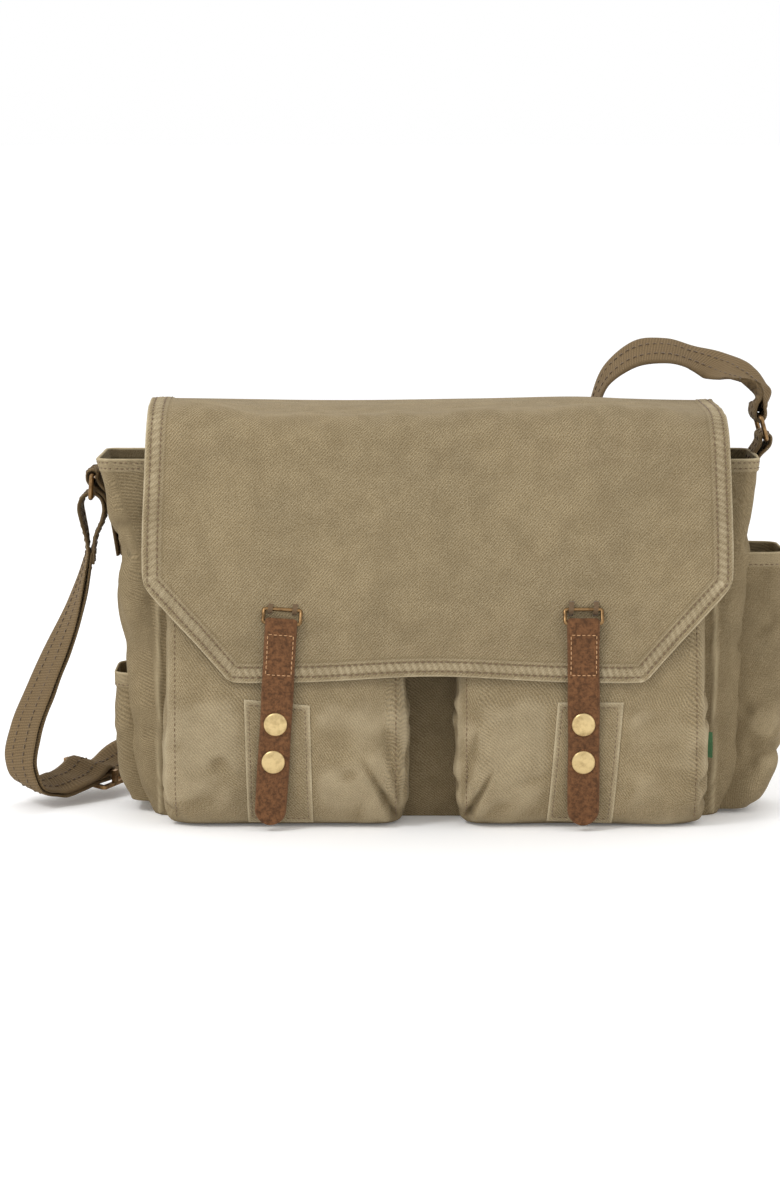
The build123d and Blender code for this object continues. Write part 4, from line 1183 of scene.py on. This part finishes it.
# ---------------------------------------------------------------- shoulder strap
# each point of a route is x, y, z and the direction of the webbing's width
DRAPE = [
    (-236, 28, 176, 0.08, -1, 0),
    (-239, 28, 160, 0.15, -0.98, 0),
    (-246, 26, 136, 0.3, -0.95, 0),
    (-258, 20, 106, 0.48, -0.87, 0),
    (-268, 14, 82, 0.52, -0.85, -0.02),
    (-279, 7, 52, 0.55, -0.82, -0.08),
    (-282, 4, 30, 0.6, -0.78, -0.14),
    (-277, 8, 15, 0.68, -0.7, -0.18),
    (-266, 18, 10, 0.77, -0.6, -0.14),
    (-252.63, 27.94, 12.34, 0.83, -0.55, -0.1),
]
SLIDER = np.array([-238.0, 50.0, 15.0])
ALONG = np.array([0.5579, 0.8240, 0.0989])
ACROSS = np.array([0.8297, -0.5498, -0.1])
SLIDER_UP = np.cross(ACROSS, ALONG)
TURN = [
    (-232.6, 28, 166, 0.1, -0.99, 0),
    (-230.0, 28, 184, 0.04, -1, 0),
    (-224.8, 28, 196, 0, -1, 0),
    (-223.6, 28, 204, 0, -1, 0),
    (-225.9, 28, 210.6, 0, -1, 0),
    (-232.0, 28, 213.9, 0, -1, 0),
    (-238.1, 28, 210.6, 0, -1, 0),
    (-240.6, 28, 204, 0, -1, 0),
    (-239.6, 28, 196, 0, -1, 0),
    (-237.0, 28, 184, 0.04, -1, 0),
]
REST = [
    (-224.8, 69.9, 17.4, 0.83, -0.55, -0.1),
    (-214, 82, 20, 0.7, -0.5, -0.5),
    (-199, 90, 21, 0.35, -0.3, -0.88),
    (-178, 93, 21, 0.05, -0.08, -1),
    (-100, 93, 21, 0, -0.05, -1),
    (-20, 93, 22, 0.03, -0.08, -1),
    (38, 93, 34, 0.25, -0.12, -0.96),
    (78, 92, 68, 0.66, -0.35, -0.66),
    (99, 89, 122, 0.72, -0.68, -0.2),
    (106, 86, 186, 0.4, -0.91, -0.05),
    (107, 82, 230, 0.2, -0.98, 0),
    (110, 80, 268, 0.1, -0.99, -0.05),
    (119, 78, 289, 0.03, -0.95, -0.3),
    (138, 76, 303.5, 0, -0.91, -0.41),
    (160, 76, 305.5, 0, -0.91, -0.41),
    (178, 77.5, 300.5, -0.05, -0.91, -0.41),
    (193, 73, 295.5, -0.35, -0.85, -0.42),
    (204, 61, 291, -0.5, -0.8, -0.25),
    (212, 50, 287, -0.5, -0.86, 0),
    (217.5, 41.5, 282.5, -0.25, -0.97, 0),
    (220, 37, 277, 0, -1, 0),
]
STRAP_WIDTH, STRAP_THICK = 38.0, 2.3


def web_strip(name, route, seed=3, step=1.6, wave=0.22):
    """Webbing along a route, and a second object with its two dashed rows of stitches on both faces."""
    route = np.asarray(route, float)
    r = through(route, int(path_lengths(route[:, :3])[-1] / step))
    middle = r[:, :3]
    strip, side, up = ribbon(name, middle, r[:, 3:], STRAP_WIDTH, STRAP_THICK, WEBBING, 0.05, wave, seed)
    lines = []
    for q in (-0.36, 0.36):
        for face in (-1, 1):
            lines.append((middle + side * (q * STRAP_WIDTH / 2) + up * face * 1.18, up * face))
    return strip, stitches(name + "_stitches", lines, DARK_THREAD, length=3.2, gap=1.7, radius=0.42)


def strap_part(name, route, seed, moving, start, end, *stands_for):
    """A stretch of the shoulder strap with its stitches, in place of the CAD nodes it stands for. The moving
    body, start and end are not used.
    """
    strip, dashes = web_strip(name, route, seed)
    for obj, slot_name in ((strip, "webbing"), (dashes, "thread")):
        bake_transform(obj)
    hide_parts(*stands_for)


def along_slider(y, z=0.0):
    """A route point at the slider: y along the webbing and z off its face."""
    return [*(SLIDER + ALONG * y + SLIDER_UP * z), *ACROSS]


def lifted(route, lift):
    """A route moved off its own surface."""
    route = np.asarray(route, float)
    up = unit(np.cross(np.gradient(route[:, :3], axis=0), route[:, 3:]))
    out = route.copy()
    out[:, :3] += up * lift
    return out


upper = [along_slider(y) for y in (-14, -8, -0.3)]
lower = [along_slider(y) for y in (0.3, 8, 14)]
strap_part(
    *("strap_drape", np.concatenate([TURN, DRAPE, upper]), 3),
    *("left_ring", (-0.240, 0.028, 0.150), (-0.236, 0.028, 0.190)),
    *("strap_ring_loop", "strap_outer_run"),
)

inner_route = lifted(DRAPE, -3.0)
inner_route[0, :3] = (-232.8, 28, 174)
ROUND_BAR = [(-15, 3.4), (-8, 5.6), (-3.4, 8), (0, 8.6), (2.9, 7.2)]
ROUND_BAR += [(3.3, 5.2), (1.8, 3.3), (-3, 2.6), (-12, 2.4)]
tail = [along_slider(y, z) for y, z in ROUND_BAR]
strap_part(
    *("strap_inner_layer", np.concatenate([inner_route, tail]), 9),
    *("slider", (-0.262, 0.020, 0.0115), (-0.2539, 0.0297, 0.0018)),
    *("strap_inner_run", "slider_sewn_end"),
)

ROUND_RING = ((221.2, 272.0), (221.3, 264.5), (218.0, 261.2), (214.8, 264.5), (215.2, 272.0))
ending = [(x, 36, z, 0, -1, 0) for x, z in ROUND_RING]
back_up = lifted(REST[-4:], 2.9)[::-1]
strap_part(
    *("strap_long_run", np.concatenate([lower, REST, ending, back_up[:2]]), 5),
    *("right_ring", (0.200, 0.060, 0.284), (0.216, 0.041, 0.280)),
    *("strap_floor_run", "strap_back_run", "strap_arch", "strap_end_loop"),
)

# y of each ring's tab, and its outline in x and z
TABS = {
    "left": (
        28.0,
        [(-211.5, 172), (-213.6, 190), (-218.6, 211), (-227.8, 223.5), (-228.0, 227.6), (-231.0, 229.3)]
        + [(-234.2, 227.6), (-234.6, 224.0), (-222.5, 210.5), (-217.2, 190), (-214.4, 171.5)],
    ),
    "right": (
        36.0,
        [(209.4, 200), (211.4, 220), (213.6, 238), (218.7, 247.5), (218.9, 251.6), (222, 253.3)]
        + [(225.2, 251.4), (225.3, 247.2), (217.4, 237), (214.6, 219), (212.2, 199.5)],
    ),
}
for side, (y, outline) in TABS.items():
    route = [(x, y, z, 0, -1, 0) for x, z in outline]
    tab, tab_thread = web_strip(f"{side}_tab_webbing", route, 4, step=0.9, wave=0.12)
    fitted(tab, "bag", "webbing", f"{side}_ring_tab")
    fitted(tab_thread, "bag", "thread")

# ---------------------------------------------------------------- side label
u, v = np.meshgrid(np.linspace(0, 1, 14), np.linspace(0, 1, 34))
out = np.stack([175.4 + 7.0 * u, -47.5 - 1.2 * np.sin(v * 4) * u + 0.8 * u, 45.5 + 17 * v - 1.5 * u], axis=-1)
front = out - np.array([0, 0.35, 0])
back = out + np.array([0, 0.35, 0])
both = np.concatenate([front, back[:, ::-1]], axis=1)
label = grid("green_side_tape", both, wrap=True, wear_and_highlight=np.full(both.shape[:2], 0.25), materials=[GREEN])
fitted(label, "bag", "label_cloth", "side_label")

# ---------------------------------------------------------------- floor, light and camera
WHITE = (1, 1, 1)
world = bpy.data.worlds.new("studio")
bpy.context.scene.world = world
world.use_nodes = True
world.node_tree.nodes["Background"].inputs["Color"].default_value = (*WHITE, 1)
world.node_tree.nodes["Background"].inputs["Strength"].default_value = 1.0

bpy.ops.mesh.primitive_plane_add(size=120, location=(0, 40.0, 0))
floor = bpy.context.object
floor.name = "floor"
paper = Look("paper").finish(
    Emission_Color=WHITE,
    Emission_Strength=0.08,
    Base_Color=(0.98, 0.98, 0.98),
    Roughness=0.7,
    Specular_IOR_Level=0.1,
)
floor.data.materials.append(paper)


def aimed(obj, place, target):
    """Put a lamp or camera at a place and turn it to a target."""
    obj.location = place
    obj.rotation_euler = (target - place).to_track_quat("-Z", "Y").to_euler()


def lamp(name, place, target, size, power):
    data = bpy.data.lights.new(name, "AREA")
    data.shape = "RECTANGLE"
    data.size, data.size_y = size
    data.energy = power
    aimed(added(name, data), Vector(place), Vector(target))


lamp("key", (-1.3, -1.2, 1.9), (0, 0, 0.15), (0.6, 0.6), 19)
lamp("fill", (1.5, -1.3, 0.8), (0, 0, 0.15), (1.2, 1.2), 2)
lamp("rim", (0.2, 1.2, 1.5), (0, 0, 0.2), (1.2, 0.6), 4)

target = Vector((-0.031, -0.060, 0.1528))
distance, rise = 2.171, math.radians(8.0)
camera_data = bpy.data.cameras.new("camera")
camera_data.lens = 100
camera_data.sensor_width = 36
camera = added("camera", camera_data)
aimed(camera, target + Vector((0, -math.cos(rise), math.sin(rise))) * distance, target)
bpy.context.scene.camera = camera
bpy.context.scene.view_settings.view_transform = "Standard"
